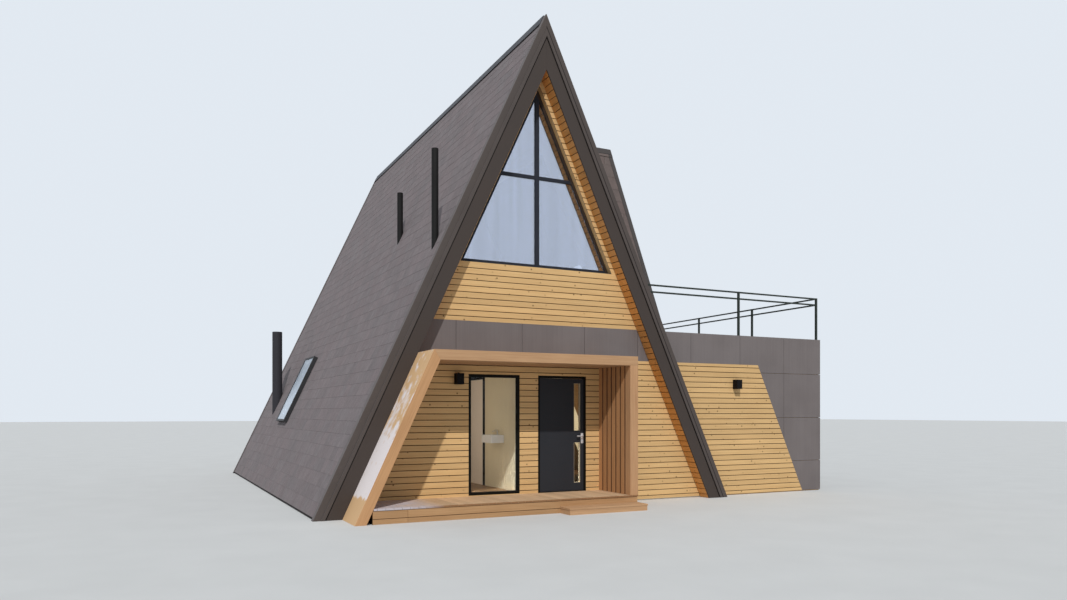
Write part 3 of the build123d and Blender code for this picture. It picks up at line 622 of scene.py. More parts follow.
def coated_sheet(name, colour, roughness, shine=0.3, *changes, flow=0.06):
    """Folded, coated metal sheet: a fine orange-peel skin, faint clouds, and a slow wave."""
    sheet = Recipe(name, Specular_IOR_Level=shine)
    clouds = sheet.noise(2.2, 3.0, 0.6)
    skin = sheet.noise(260.0)
    tone = sheet.changed(sheet.cloudy(colour, clouds, flow), changes)
    tone = sheet.shaded(tone, skin, 0.97, 1.03)
    wave = sheet.plus(sheet.times(clouds, 4.0), skin)
    rough = sheet.spread(clouds, roughness - 0.05, roughness + 0.08)
    return sheet.finished(tone, wave, 0.0004, 0.35, rough)


def facade_sheet(name, dark, pale):
    """Through-coloured facade panel: matt, with faint upright brushing and fine speckle."""
    sheet = Recipe(name, Specular_IOR_Level=0.3)
    brushed = sheet.noise(1.0, 4.0, 0.6, sheet.stretched(sheet.place, (0.02, 0.02, 1.2)))
    speckle = sheet.noise(180.0, 2.0, 0.6)
    clouds = sheet.noise(1.4)
    tone = sheet.ramp(sheet.between(sheet.plus(brushed, clouds), 0.75, 1.25), dark, pale)
    tone = sheet.shaded(tone, sheet.spread(speckle), 0.96, 1.04)
    return sheet.finished(tone, speckle, 0.0003, 0.4, sheet.spread(brushed, 0.55, 0.72))


def painted(name, colour, roughness, grain, flow=0.04):
    """Brushed or rolled paint: a fine stipple and a slow change of tone."""
    coat = Recipe(name)
    stipple = coat.noise(grain, 3.0, 0.55)
    tone = coat.cloudy(colour, coat.noise(1.1), flow)
    tone = coat.shaded(coat.shaded(tone, coat.tint(), 0.985, 1.015), stipple, 0.98, 1.02)
    rough = coat.spread(stipple, roughness - 0.06, roughness + 0.06)
    return coat.finished(tone, stipple, 0.0003, 0.3, rough)


def brushed_steel():
    """Satin steel: fine lines along its length, and faint handling marks."""
    metal = Recipe("satin steel", Metallic=0.75)
    lines = metal.noise(1.0, 3.0, 0.6, metal.stretched(metal.place, (0.05, 0.002, 0.002)))
    marks = metal.noise(60.0)
    tone = metal.ramp(metal.spread(lines), paint(214, 215, 217), paint(240, 241, 243))
    return metal.finished(tone, lines, 0.0001, 0.3, metal.spread(marks, 0.42, 0.54))


def window_glazing(name, colour, mirror=0.0, roughness=0.01):
    """Window glass that lets lamps through, with a hardly visible unevenness. mirror is the
    share of its reflecting coating, which shows faint upright streaks."""
    pane = Recipe(name, Transmission_Weight=1.0, IOR=1.2, Metallic=mirror, Roughness=roughness)
    ripple = pane.noise(1.2, 1.0)
    streaks = pane.noise(place=pane.stretched(pane.place, (0.16, 0.16, 6.0)))
    flow = pane.between(streaks if mirror else ripple, 0.35, 0.65)
    pane.finished(pane.ramp(flow, colour, darker(colour, 0.94)), ripple, 0.002, 0.1)
    passing = pane.node("BsdfTransparent", {"Color": darker(colour, 1 - mirror / 2)})
    from_lamp = pane.node("LightPath").outputs["Is Shadow Ray"]
    both = pane.node("MixShader", {0: from_lamp, 1: pane.shader.outputs[0], 2: passing.outputs[0]})
    pane.tree.links.new(both.outputs[0], pane.tree.nodes["Material Output"].inputs["Surface"])
    return pane.material


def glazed_ceramic():
    """White glaze with the faintest pooling."""
    glaze = Recipe("white glaze", Roughness=0.16, Coat_Weight=0.3)
    pooling = glaze.noise(9.0)
    tone = glaze.ramp(pooling, paint(243, 243, 244), paint(249, 249, 250))
    return glaze.finished(tone, pooling, 0.0004, 0.2)


def plank_floor():
    """Oiled plank floor: planks 140 mm wide along the house, with fine dark joints."""
    planks = Recipe("plank floor", Roughness=0.45)
    cells = planks.node(
        "TexBrick",
        {
            "Vector": planks.stretched(planks.place, (1.0, 1.0, 1.0), (0, 0, math.pi / 2)),
            "Color1": paint(152, 118, 84),
            "Color2": paint(132, 100, 70),
            "Mortar": paint(60, 44, 30),
            "Scale": 1.0,
            "Mortar Size": 0.0015,
            "Brick Width": 2.1,
            "Row Height": 0.14,
        },
    )
    streaks = planks.noise(4.0, 4.0, 0.6, planks.stretched(planks.place, (0.03, 0.8, 0.03)))
    tone = planks.shaded(cells.outputs["Color"], planks.spread(streaks), 0.88, 1.1)
    return planks.finished(tone, streaks, 0.0004, 0.4)


ALONG_X, ALONG_Y, ALONG_Z = (1.3, 0.03, 0.03), (0.03, 1.3, 0.03), (0.03, 0.03, 1.3)
LEG_TURN = (0, math.pi / 2 - pitch, 0)
flashing_grey = paint(80, 75, 73)

cladding_wood = timber("cladding boards", paint(197, 157, 104), paint(219, 182, 128), ALONG_X)
soffit_wood = timber("soffit boards", paint(200, 138, 74), paint(222, 164, 96), ALONG_Y)
# Deck boards: the plank ends painted darker as shade, and a pale painted sky reflection beside the
# leg
deck_wood = timber(
    "deck boards", paint(182, 149, 114), paint(210, 179, 144), ALONG_Y,
    (shade_painted_ends, paint(140, 102, 68)), (deck_sky_glare, paint(190, 182, 186)),
    knots=0.06, tones=(0.88, 1.08),
)
porch_wood = timber("porch boards", paint(170, 129, 92), paint(194, 155, 116), ALONG_X, knots=0.05)
fascia_wood = timber("deck fascia", paint(158, 118, 78), paint(182, 143, 102), ALONG_X, knots=0.05)
post_wood = timber("porch posts", paint(170, 126, 88), paint(196, 154, 114), ALONG_Z, knots=0.05)
# The slats' sides in their gaps are painted dark as shade
slat_wood = timber(
    "slat boards", paint(168, 120, 78), paint(194, 146, 102), ALONG_Z,
    (shade_painted_ends, paint(88, 57, 32)), knots=0.05,
)
# The leg's left side is painted paler as a sunlit highlight, with pale patches of painted sky
# reflection
leg_wood = timber(
    "porch leg", paint(174, 129, 87), paint(199, 153, 109), ALONG_Z,
    (leg_side_highlight, paint(223, 187, 141)), (leg_sky_glare, paint(232, 222, 219)),
    turn=LEG_TURN, knots=0,
)
roof_timber = timber(
    "roof timber", paint(222, 212, 180), paint(236, 228, 200), ALONG_Y,
    (level_faces, flashing_grey), knots=0.06,
)
hall_timber = timber(
    "hall boards", paint(186, 146, 100), paint(206, 166, 120), ALONG_X,
    (above_ceiling, flashing_grey), knots=0.06,
)
reveal_wood = timber(
    "window reveal", paint(42, 42, 46), paint(50, 49, 52), ALONG_Z,
    (outer_face, paint(214, 176, 122)), knots=0,
)
shingle_felt = mineral_shingle(
    "mineral shingle", paint(113, 106, 106), paint(125, 117, 117), paint(127, 108, 108), 0.06
)
cheek_felt = mineral_shingle(
    "cheek shingle", paint(104, 94, 90), paint(116, 104, 99), paint(118, 96, 92), 0.02
)
terrace_felt = mineral_shingle(
    "terrace felt", paint(104, 100, 98), paint(114, 110, 108), paint(112, 104, 100), 0.02
)
# The trim faces lying on the roof are painted paler as lit from above
trim_sheet = coated_sheet(
    "trim sheet", paint(79, 71, 67), 0.6, 0.2, (trim_top_highlight, paint(99, 92, 90))
)
edge_sheet = coated_sheet("dormer edge sheet", flashing_grey, 0.6, 0.2)
shade_and_flashing_sheet = coated_sheet(
    "painted groove shade and foot flashing", paint(38, 33, 31), 0.7, 0.15, (left_of_ridge, paint(80, 72, 68))
)
ridge_sheet = coated_sheet("ridge sheet", paint(66, 66, 70), 0.55, 0.2)
fascia_sheet = coated_sheet("fascia board", paint(62, 53, 48), 0.65)
panel_sheet = facade_sheet("facade panels", paint(106, 98, 96), paint(115, 107, 105))
dormer_sheet = facade_sheet("dormer sheets", paint(84, 79, 78), paint(92, 87, 86))
frame_coat = coated_sheet("window frames", paint(16, 15, 11), 0.5, 0.1)
gable_coat = coated_sheet(
    "gable window frames", paint(36, 38, 46), 0.5, 0.2, (along_gable_rake, paint(52, 40, 32))
)
door_coat = coated_sheet("door paint", paint(46, 47, 51), 0.5, 0.1, flow=0.04)
flue_coat = coated_sheet("flue coat", paint(22, 21, 20), 0.7, 0.2, (big_flue, paint(50, 49, 53)))
roof_frame = coated_sheet("roof window frame", paint(48, 48, 49), 0.5, 0.2)
rail_coat = coated_sheet("rail coat", paint(36, 44, 38), 0.5)
lamp_coat = coated_sheet("lamp coat", paint(12, 10, 10), 0.7, 0.15)
wall_lining = painted("white lining", paint(222, 216, 204), 0.7, 60.0)
rubber = painted("rubber seal", paint(18, 18, 19), 0.8, 200.0)
# Near black: painted shade of the key slot's hollow
key_slot_shade = painted("key slot", paint(10, 10, 10), 0.8, 200.0)
white_boards = painted("white wall boards", paint(230, 219, 190), 0.6, 70.0)
inner_paint = painted("inner door paint", paint(250, 238, 226), 0.5, 70.0)
bead_paint = painted("pane linings", paint(226, 208, 176), 0.5, 70.0)
floor_paint = painted("pale floor", paint(205, 205, 202), 0.9, 3.0, 0.02)
steel = brushed_steel()
window_pane = window_glazing("window glass", paint(250, 252, 252))
gable_pane = window_glazing("reflecting glass", paint(232, 238, 252), 0.55)
roof_pane = window_glazing("roof window glass", paint(232, 242, 252), 0.7, 0.28)
lens_glass = window_glazing("frosted lens", paint(240, 238, 230), 0.0, 0.35)

for finish, nodes in (
    (plank_floor(), "floor_slab annex_floor loft_floor"),
    (roof_timber, "left_roof right_roof_front right_roof_back right_roof_top"),
    (ridge_sheet, "ridge_cap"),
    (fascia_sheet, "fascias"),
    (trim_sheet, "barge_trims"),
    (wall_lining, "front_wall_left front_wall_right front_wall_upper back_wall"),
    (panel_sheet, "gable_band annex_panels"),
    (frame_coat, "door_sill ground_window_frames door_frame terrace_door_frame inner_door_frame"),
    (gable_coat, "gable_window_frames"),
    (door_coat, "door_leaf"),
    (window_pane, "door_glass terrace_door_glass"),
    (steel, "handle_plates door_handle frame_hinges leaf_hinges"),
    (lamp_coat, "wall_lamps"),
    (hall_timber, "annex_front_wall annex_side_wall annex_back_wall"),
    (terrace_felt, "annex_roof"),
    (rail_coat, "rail_posts rails"),
    (dormer_sheet, "dormer_roof dormer_wall"),
    (roof_frame, "skylight_frame"),
    (roof_pane, "skylight_glass"),
    (inner_paint, "inner_door"),
    (glazed_ceramic(), "wash_basin"),
):
    for node in nodes.split():
        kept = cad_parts[node].data.materials
        kept.clear()
        kept.append(finish)

# Horizontal board cladding


def clad(on, fields, openings=()):
    """Grooved boards in fields of lines, left end and right end, parted round openings."""

    def rows_at(gap):
        rows = np.concatenate([strips(lines, gap, *ends) for lines, *ends in fields])
        for opening in openings:
            rows = around(rows, opening)
        return rows

    return grooved(on, rows_at, cladding)


def under_roof(level):
    """The inside of the right slope at a level."""
    return rake_x(level, ROOF)


def at_shingles(level):
    """The base of the right slope's shingles at a level."""
    return rake_x(level, SHINGLE)


def window_half(level):
    """Half width of the gable window at a level."""
    return np.maximum((gable_peak - level) / TAN, 0.0)


low_lines = levels(cladding_foot, band_low, FIRST_GROOVE, BOARD)
highest_board = ridge_height - ROOF / COS - 0.02
high_lines = levels(band_high, highest_board, FIRST_GROOVE, BOARD)
sill_line = np.argmin(abs(high_lines - gable_sill))
peak_line = np.argmin(abs(high_lines - gable_peak))
window_lines = high_lines[sill_line : peak_line + 1]
gable_fields = [
    (low_lines, opposite(under_roof), under_roof),
    (high_lines[: sill_line + 1], opposite(under_roof), under_roof),
    (window_lines, opposite(under_roof), opposite(window_half)),
    (window_lines, window_half, under_roof),
    (high_lines[peak_line:], opposite(under_roof), under_roof),
]
door_opening = (door_low[0], door_high[0], FAR_BELOW, opening_top)
window_opening = (WINDOW_LEFT, WINDOW_RIGHT, floor_level, opening_top)
far_opening = (-WINDOW_RIGHT, -WINDOW_LEFT, floor_level, opening_top)
slant_foot = span("annex_boards")[1][0] + cladding_foot / TAN


def slant(level):
    """The slanted edge of the side room's boards at a level."""
    return slant_foot - level / TAN


front_core_plane = upright(front_core)
side_fields = [(low_lines, at_shingles, slant)]
for name, plane, fields, openings, node in (
    ("front", front_core_plane, gable_fields, (door_opening, window_opening), "front_boards"),
    ("back", upright(back_core, BACK), gable_fields, (window_opening, far_opening), "back_boards"),
    ("side_room", front_core_plane, side_fields, (), "annex_boards"),
):
    boards = clad(plane, fields, openings)
    piece(name + "_cladding", boards, cladding_wood, (node,))

# Soffit boards at both ends

FOOT_GAP, PEAK_GAP = 0.004, 0.002
soffit_foot = slope_level(0, LINED) + FOOT_GAP
soffit_peak = (half_width - LINED / SIN) / COS + slope_level(0, LINED) - PEAK_GAP
soffit_lines = levels(soffit_foot, soffit_peak, (FIRST_GROOVE + ROOF * COS) / SIN, BOARD / SIN)
soffit_parts = []
for side in (-1, 1):
    under = slope(side, ROOF)
    for near, far in ((roof_front, front_face), (back_face, roof_back)):
        left, right = sorted((-side * near, -side * far))
        soffit_parts += grooved(
            face(under[0], under[2], -under[3]),
            lambda gap: strips(soffit_lines, gap, constant(left), constant(right)),
            LINING,
        )
piece("soffit_lining", soffit_parts, soffit_wood, ("soffits",))

# Shingle roof

COURSE, TAB, TAB_GAP = 0.239, 0.333, 0.006
TAB_LAP, TAB_BUTT, TAB_DEPTH = 0.012, 0.003, 0.014
TAB_SETBACK, TAB_EASE, TAB_SUNK = 0.0005, 0.0012, 0.001
SHIFT_MOST, LEAN_MOST, LAST_COURSE = 0.03, 0.0012, 0.05
FIRST_COURSE, RIDGE_GAP, OPENING_GAP = 0.03, 0.004, 0.002


def tabs(on, low, high, left, right, openings=(), total=SHINGLE):
    """Shingle tabs in courses over a base sheet. Each tab leans in by the height of one butt
    from its low to its high edge, so that the next course laps over it."""
    lines = np.append(np.arange(low, high - LAST_COURSE, COURSE), high)
    rows = strips(lines, 0.0, left, right)
    rows[:-1, 5] += TAB_LAP
    rows = np.column_stack([rows, lines[:-1]])
    shifts = chance.uniform(-SHIFT_MOST, SHIFT_MOST, len(rows))
    shifts += TAB / 2 * (np.arange(len(rows)) % 2)
    start = rows[:, :4].min() - 1
    steps = TAB * np.arange(int((rows[:, :4].max() - start) / TAB) + 3)
    rows = parted(rows, lambda number: start + shifts[number] + steps, TAB_GAP)
    base = strips(np.array([low, high]), 0.0, left, right)
    for opening in openings:
        rows = around(rows, opening)
        base = around(base, opening)
    outlines = quads_of(rows)
    lean = -TAB_BUTT * (outlines[..., 1] - rows[:, 6:7]) / COURSE
    lean -= chance.uniform(0, LEAN_MOST, (len(rows), 1))
    floor = total - TAB_DEPTH
    return [
        plates(on, quads_of(base), floor, SHEET_EASE),
        plates(on, outlines, total - TAB_SETBACK, TAB_EASE, lean, floor - TAB_SUNK),
    ]


SKYLIGHT_CENTRE, SKYLIGHT_HALF = 2.46, 0.84
skylight_near, skylight_far = ends_of("skylight_frame", Y)
skylight_opening = (
    -skylight_far,
    -skylight_near,
    SKYLIGHT_CENTRE - SKYLIGHT_HALF,
    SKYLIGHT_CENTRE + SKYLIGHT_HALF,
)
roof_openings = [
    (front_face, annex_back, FAR_BELOW, slope_level(band_high) + OPENING_GAP),
    (dormer_low[1], dormer_high[1], FAR_BELOW, slope_level(dormer_top) + OPENING_GAP),
]
slope_foot = slope_level(FIRST_COURSE)
slope_peak = (half_width - SHINGLE * SIN) / COS - RIDGE_GAP
for name, side, ends, openings, node in (
    ("left_shingle_cover", -1, (-roof_back, -roof_front), [skylight_opening], "left_shingles"),
    ("right_shingle_cover", 1, (roof_front, roof_back), roof_openings, "right_shingles"),
):
    cover = tabs(slope(side, SHINGLE), slope_foot, slope_peak, *map(constant, ends), openings)
    piece(name, cover, shingle_felt, (node,))

# Dormer

DORMER_REACH, EDGE_LOW, EDGE_WIDTH, EDGE_OVERLAP = 2.100, 6.945, 0.09, 0.008
CHEEK, CHEEK_SETBACK, FILLER, EDGE_SHEET = 0.150, 0.004, 0.003, 0.006
loft_level, dormer_foot = dormer_low[2], dormer_high[0]
dormer_tan = (dormer_top - loft_level) / (dormer_foot - DORMER_REACH)


def dormer_x(level):
    """The dormer's sloping outer edge at a level."""
    return dormer_foot - (level - loft_level) / dormer_tan


def cheek_end(level):
    """The end of a cheek's shingles, beside the edge trim, at a level."""
    return dormer_x(level) - EDGE_WIDTH


cheek_parts, edge_parts = [], []
for line, side in ((dormer_low[1] + CHEEK, FRONT), (dormer_high[1] - CHEEK, BACK)):
    on, on_roof = upright(line, side), upright(line + side * CHEEK, side)
    ends = (under_roof, cheek_end)
    filler = slanted(under_roof, cheek_end, dormer_under, EDGE_LOW)
    band = slanted(at_shingles, dormer_x, EDGE_LOW + EDGE_OVERLAP, dormer_top)
    strip = slanted(cheek_end, dormer_x, loft_level, dormer_under)
    head = slanted(cheek_end, dormer_x, dormer_under, EDGE_LOW)
    if side == BACK:
        ends = (opposite(cheek_end), opposite(under_roof))
        filler, band, strip, head = map(mirrored, (filler, band, strip, head))
    cheek_parts += tabs(on, loft_level, dormer_under, *ends, total=CHEEK - CHEEK_SETBACK)
    cheek_parts.append(plates(on_roof, [filler], FILLER, SHEET_EASE))
    edge_parts.append(plates(on, [strip], CHEEK))
    edge_parts.append(plates(on_roof, [band, head], EDGE_SHEET))
piece("dormer_cheek_cover", cheek_parts, cheek_felt, ("dormer_cheeks",))
piece("dormer_edge_trims", edge_parts, edge_sheet, ("dormer_cheeks",))

# Porch frame

leg_inner = LINED + porch_member
beam_low = band_low - porch_member
leg_top = (-rake_x(band_low, LINED), band_low)
inner_corner = (-rake_x(beam_low, leg_inner), beam_low)
leg_outline = [(-rake_x(0, LINED), 0.0), (-rake_x(0, leg_inner), 0.0), inner_corner, leg_top]
beam_outline = [inner_corner, (porch_right, beam_low), (porch_right, band_low), leg_top]
for name, outline, finish, node in (
    ("slanted_porch_leg", leg_outline, leg_wood, "porch_leg"),
    ("porch_beam", beam_outline, porch_wood, "porch_top"),
):
    part = moulded(upright(front_face), [outline], [(0, 0), (0, front_face - porch_front)])
    eased(piece(name, [part], finish, (node,)))
corner_post = [bars(span("porch_post"))]
eased(piece("porch_corner_post", corner_post, post_wood, ("porch_post",)))

SLATS, SLAT_GAP = 6, 0.032
slats_low, slats_high = span("slat_screen")
slat_width = (slats_high[1] - slats_low[1] - (SLATS - 1) * SLAT_GAP) / SLATS
slat_fronts = slats_low[1] + np.arange(SLATS) * (slat_width + SLAT_GAP)
slats = [
    ((slats_low[0], y, slats_low[2]), (slats_high[0], y + slat_width, slats_high[2]))
    for y in slat_fronts
]
eased(piece("slat_boards", [bars(*slats)], slat_wood, ("slat_screen",)))

# Deck and step

DECK_PITCH, DECK_GAP, FIRST_DECK_JOINT = 0.131, 0.006, 0.1129
deck_plane = face((0, 0, deck_under), (1, 0, 0), (0, 0, 1))
deck_left = -rake_x(deck_level, leg_inner)
deck_lines = levels(deck_left, porch_right, FIRST_DECK_JOINT, DECK_PITCH, 0.03)
deck_rows = strips(deck_lines, DECK_GAP, constant(-front_face), constant(-porch_front))
planks = [plates(deck_plane, quads_of(deck_rows), deck_level - deck_under, 0.001)]
piece("deck_planks", planks, deck_wood, ("deck_boards",))

FASCIA, JOIST, JOIST_PITCH = 0.022, 0.045, 0.45
FASCIA_JOINT, HALF_JOINT = -2.81, 0.0015
LOW_BOARD_TOP, HIGH_BOARD_FOOT, SHADOW_GAP = 0.077, 0.085, 0.007
frame_left, frame_right = ends_of("deck_frame", 0)
frame_front = ends_of("deck_frame", Y)[0]
fascia_outlines = [
    rectangle(left, right, low, high)
    for low, high in ((HIGH_BOARD_FOOT, deck_under - SHADOW_GAP), (0.0, LOW_BOARD_TOP))
    for left, right in (
        (frame_left, FASCIA_JOINT - HALF_JOINT), (FASCIA_JOINT + HALF_JOINT, frame_right)
    )
]
joist_front = frame_front + FASCIA
joist_plans = [
    (frame_left, frame_right, joist_front, joist_front + JOIST),
    (frame_left, frame_right, front_face - JOIST, front_face),
    (frame_left, frame_left + JOIST, joist_front, front_face),
]
for right in np.arange(frame_right, frame_left + JOIST, -JOIST_PITCH):
    joist_plans.append((right - JOIST, right, joist_front, front_face))
joists = [((x0, y0, 0), (x1, y1, deck_under)) for x0, x1, y0, y1 in joist_plans]
# The joists carry the painted shade tint, so they show near black through the fascia's gaps
deck_edge = [plates(upright(joist_front), fascia_outlines, FASCIA, 0.003), shade_painted(bars(*joists))]
piece("deck_fascia_and_joists", deck_edge, fascia_wood, ("deck_frame",))

TREAD, NOSING, TREAD_GAP = 0.030, 0.008, 0.005
step_low, step_high = span("porch_step")
tread_foot = step_high[2] - TREAD
tread_lines = np.linspace(step_low[1], step_high[1], 3)
tread_rows = strips(tread_lines, TREAD_GAP, constant(step_low[0]), constant(step_high[0]))
step_parts = [
    plates(face((0, 0, tread_foot), (0, 1, 0), (0, 0, 1)), quads_of(tread_rows), TREAD, 0.003),
    bars(
        (
            (step_low[0] + NOSING, step_low[1] + NOSING, 0),
            (step_high[0] - NOSING, step_high[1], tread_foot),
        )
    ),
]
piece("porch_step_boards", step_parts, porch_wood, ("porch_step",))

# Flue pipes: their place from the ridge plane and from the front, their radius and their top

PIPE_WALL, PIPE_RIM, PIPE_DEPTH = 0.006, 0.002, 0.5
flue_parts = []
for x, setback, radius, top in (
    (-1.930, 0.190, 0.060, 6.260),
    (-1.610, 3.260, 0.060, 6.280),
    (-3.200, 8.970, 0.125, 3.820),
):
    low = ridge_height + (x - radius) * TAN
    profile = [
        (radius, low - top),
        (radius, -PIPE_RIM),
        (radius - PIPE_RIM, 0.0),
        (radius - PIPE_WALL + 0.001, 0.0),
        (radius - PIPE_WALL, -PIPE_RIM),
        (radius - PIPE_WALL, -PIPE_DEPTH),
    ]
    flue_parts.append(turned((x, front_face + setback, top), (0, 0, 1), profile))
piece("open_flue_pipes", flue_parts, flue_coat, ("flue_pipes",), smooth_angle=40)

# Wash room wall behind the window

PANELLING, PANEL_BOARD, PANEL_GAP = 0.009, 0.098, 0.005
ARCHITRAVE, ARCHITRAVE_DEPTH = 0.060, 0.006
wall_low, wall_high = span("partition_wall")
inner_low, inner_high = span("inner_door_frame")
core_left, core_right = wall_low[0] + PANELLING, wall_high[0] - PANELLING
core_plans = (
    (wall_low[1], inner_low[1], wall_low[2]),
    (inner_high[1], wall_high[1], wall_low[2]),
    (inner_low[1], inner_high[1], inner_high[2]),
)
core = [((core_left, y0, z0), (core_right, y1, wall_high[2])) for y0, y1, z0 in core_plans]
wall_parts = [bars(*core)]
wall_lines = levels(wall_low[1], wall_high[1], wall_low[1], PANEL_BOARD)
for x, side in ((core_left, -1), (core_right, 1)):
    left, right = sorted((-side * wall_low[2], -side * wall_high[2]))
    rows = strips(wall_lines, PANEL_GAP, constant(left), constant(right))
    left, right = sorted((-side * wall_low[2], -side * inner_high[2]))
    rows = around(rows, (left - 1e-3, right, inner_low[1], inner_high[1]))
    on = face((x, 0, 0), (0, 1, 0), (side, 0, 0))
    wall_parts.append(plates(on, quads_of(rows), PANELLING, 0.003))
piece("wash_room_panelling", wall_parts, white_boards, ("partition_wall",))

near_jamb, far_jamb, inner_head = -inner_high[1], -inner_low[1], inner_high[2]
casing = [
    rectangle(near_jamb - ARCHITRAVE, near_jamb, inner_low[2], inner_head + ARCHITRAVE),
    rectangle(far_jamb, far_jamb + ARCHITRAVE, inner_low[2], inner_head + ARCHITRAVE),
    rectangle(near_jamb, far_jamb, inner_head, inner_head + ARCHITRAVE),
]
casing_parts = [plates(face((wall_low[0], 0, 0), (0, 0, 1), (-1, 0, 0)), casing, ARCHITRAVE_DEPTH)]
piece("inner_door_architrave", casing_parts, frame_coat)

# Linings of the front door's two narrow panes

SLIT_LEFT, SLIT_RIGHT = 0.726, 0.854
SLIT_LEVELS = ((0.400, 1.143), (1.363, 2.235))
BEAD, BEAD_SETBACK = 0.003, 0.001
slit_outlines = [rectangle(SLIT_LEFT, SLIT_RIGHT, low, high) for low, high in SLIT_LEVELS]
bead = tube_wall(leaf_back - leaf_front - 2 * BEAD_SETBACK, BEAD)
slit_parts = [moulded(upright(leaf_back - BEAD_SETBACK), slit_outlines, bead, ring=True)]
piece("door_pane_linings", slit_parts, bead_paint, body="door")

# Window panes, gaskets and the lining of the gable windows' reveals

GROUND_BAR, GABLE_BAR, MULLION, PANE, GABLE_DEPTH = 0.050, 0.060, 0.080, 0.024, 0.070
TRANSOM_LOW, TRANSOM_HIGH = 5.950, 6.010
GASKET = tube_wall(0.003, 0.006)
REVEAL_WALL, REVEAL_SETBACK = 0.008, 0.001
half_mullion = MULLION / 2
pane_foot = gable_sill + GABLE_BAR
pane_peak = gable_peak - (half_mullion + GABLE_BAR / SIN) * TAN


def pane_x(level):
    """Half width of the glazed triangle at a level."""
    return (gable_peak - level) / TAN - GABLE_BAR / SIN


low_pane = slanted(lambda level: half_mullion, pane_x, pane_foot, TRANSOM_LOW)
high_pane = [
    (half_mullion, TRANSOM_HIGH), (pane_x(TRANSOM_HIGH), TRANSOM_HIGH), (half_mullion, pane_peak)
]
reveal_half = (gable_peak - gable_sill) / TAN
reveal = [(-reveal_half, gable_sill), (reveal_half, gable_sill), (0, gable_peak)]
pane_face = span("window_glass")[1][1]
frame_face = span("gable_window_frames")[1][1]
gable_face = frame_face - (GABLE_DEPTH - PANE) / 2
lining = tube_wall(back_face - REVEAL_SETBACK - frame_face, REVEAL_WALL)

near_span, far_span = (WINDOW_LEFT, WINDOW_RIGHT), (-WINDOW_RIGHT, -WINDOW_LEFT)
ground_levels = (floor_level + GROUND_BAR, opening_top - GROUND_BAR)
ground_parts, gable_parts, gasket_parts, reveal_parts = [], [], [], []
for side, spans in ((FRONT, [near_span]), (BACK, [near_span, far_span])):
    ground = [
        rectangle(left + GROUND_BAR, right - GROUND_BAR, *ground_levels) for left, right in spans
    ]
    ground_parts.append(plates(upright(side * (pane_face - PANE), side), ground, PANE, 0.001))
    gasket_parts.append(moulded(upright(side * pane_face, side), ground, GASKET, ring=True))
    for pane in (low_pane, high_pane):
        panes = [pane, mirrored(pane)]
        gable_parts.append(plates(upright(side * (gable_face - PANE), side), panes, PANE, 0.001))
        gasket_parts.append(moulded(upright(side * gable_face, side), panes, GASKET, ring=True))
    reveal_parts.append(moulded(upright(side * frame_face, side), [reveal], lining, ring=True))
piece("ground_window_panes", ground_parts, window_pane, ("window_glass",))
piece("gable_window_panes", gable_parts, gable_pane, ("window_glass",))
piece("pane_gaskets", gasket_parts, rubber)
piece("gable_reveal_lining", reveal_parts, reveal_wood)

# Painted shade: dark backing of the grooves along the rakes, and a thin painted shadow line on one
# rake's trim at each end; and flashing at the foot of the shingles

TRIM_SETBACK, STRIP, LINE = 0.018, 0.004, 0.001
FLASHING, FLASHING_LAP = 0.008, 0.02


def rake_strip(outer, inner):
    """A strip along the right rake between two depths below the roof surface, from the ground
    to the ridge plane."""
    return [
        (rake_x(0, inner), 0),
        (rake_x(0, outer), 0),
        (0, ridge_height - outer / COS),
        (0, ridge_height - inner / COS),
    ]


groove_shade_strip = rake_strip(0.150, 0.190)
painted_shadow_line = rake_strip(0.078, 0.105)
trim_face = span("barge_trims")[1][1] - TRIM_SETBACK
foot_parts = []
for side in (FRONT, BACK):
    behind, on_trim = upright(side * roof_back, side), upright(side * trim_face, side)
    foot_parts.append(plates(behind, [groove_shade_strip, mirrored(groove_shade_strip)], STRIP, SHEET_EASE))
    foot_parts.append(plates(on_trim, [painted_shadow_line], LINE, LINE / 5))
for side, left, right in (
    (-1, -roof_back, -roof_front), (1, roof_front, front_face), (1, annex_back, roof_back)
):
    flashing = rectangle(left, right, slope_level(0), slope_foot + FLASHING_LAP)
    foot_parts.append(plates(slope(side, SHINGLE), [flashing], FLASHING, 0.001))
piece("groove_shade_and_flashing", foot_parts, shade_and_flashing_sheet)

# Basin tap, lamp lenses, and the screws and key slot of the door plates

TAP_SETBACK, SPOUT, LEVER = 0.030, 0.007, 0.004
basin_low, basin_high = span("wash_basin")
tap = np.array([basin_high[0] - TAP_SETBACK, (basin_low[1] + basin_high[1]) / 2, basin_high[2]])
tap_body = [(0.020, 0), (0.020, 0.005), (0.013, 0.008), (0.012, 0.080), (0.010, 0.085)]
spout = [
    (0, 0, 0.066), (-0.025, 0, 0.074), (-0.060, 0, 0.076), (-0.090, 0, 0.070), (-0.104, 0, 0.056)
]
tap_lever = [(0, 0, 0.084), (0, 0.002, 0.093), (-0.016, 0.003, 0.101), (-0.050, 0.004, 0.107)]
tap_parts = [turned(tap, (0, 0, 1), tap_body, 32)]
tap_parts += [tube(tap + spout, SPOUT), tube(tap + tap_lever, LEVER)]
piece("basin_tap", tap_parts, steel, smooth_angle=40)

LAMP_WIDTH, LAMP_RIM, LENS, LENS_RECESS = 0.130, 0.012, 0.005, 0.015
lamps_low, lamps_high = span("wall_lamps")
lens_levels = (lamps_low[1] + LAMP_RIM, lamps_high[1] - LAMP_RIM)
lens_outlines = [
    rectangle(-left - LAMP_WIDTH + LAMP_RIM, -left - LAMP_RIM, *lens_levels)
    for left in (lamps_low[0], lamps_high[0] - LAMP_WIDTH)
]
lens_plane = face((0, 0, lamps_low[2] + LENS_RECESS), (0, 1, 0), (0, 0, -1))
piece("lamp_lenses", [plates(lens_plane, lens_outlines, LENS, 0.001)], lens_glass)

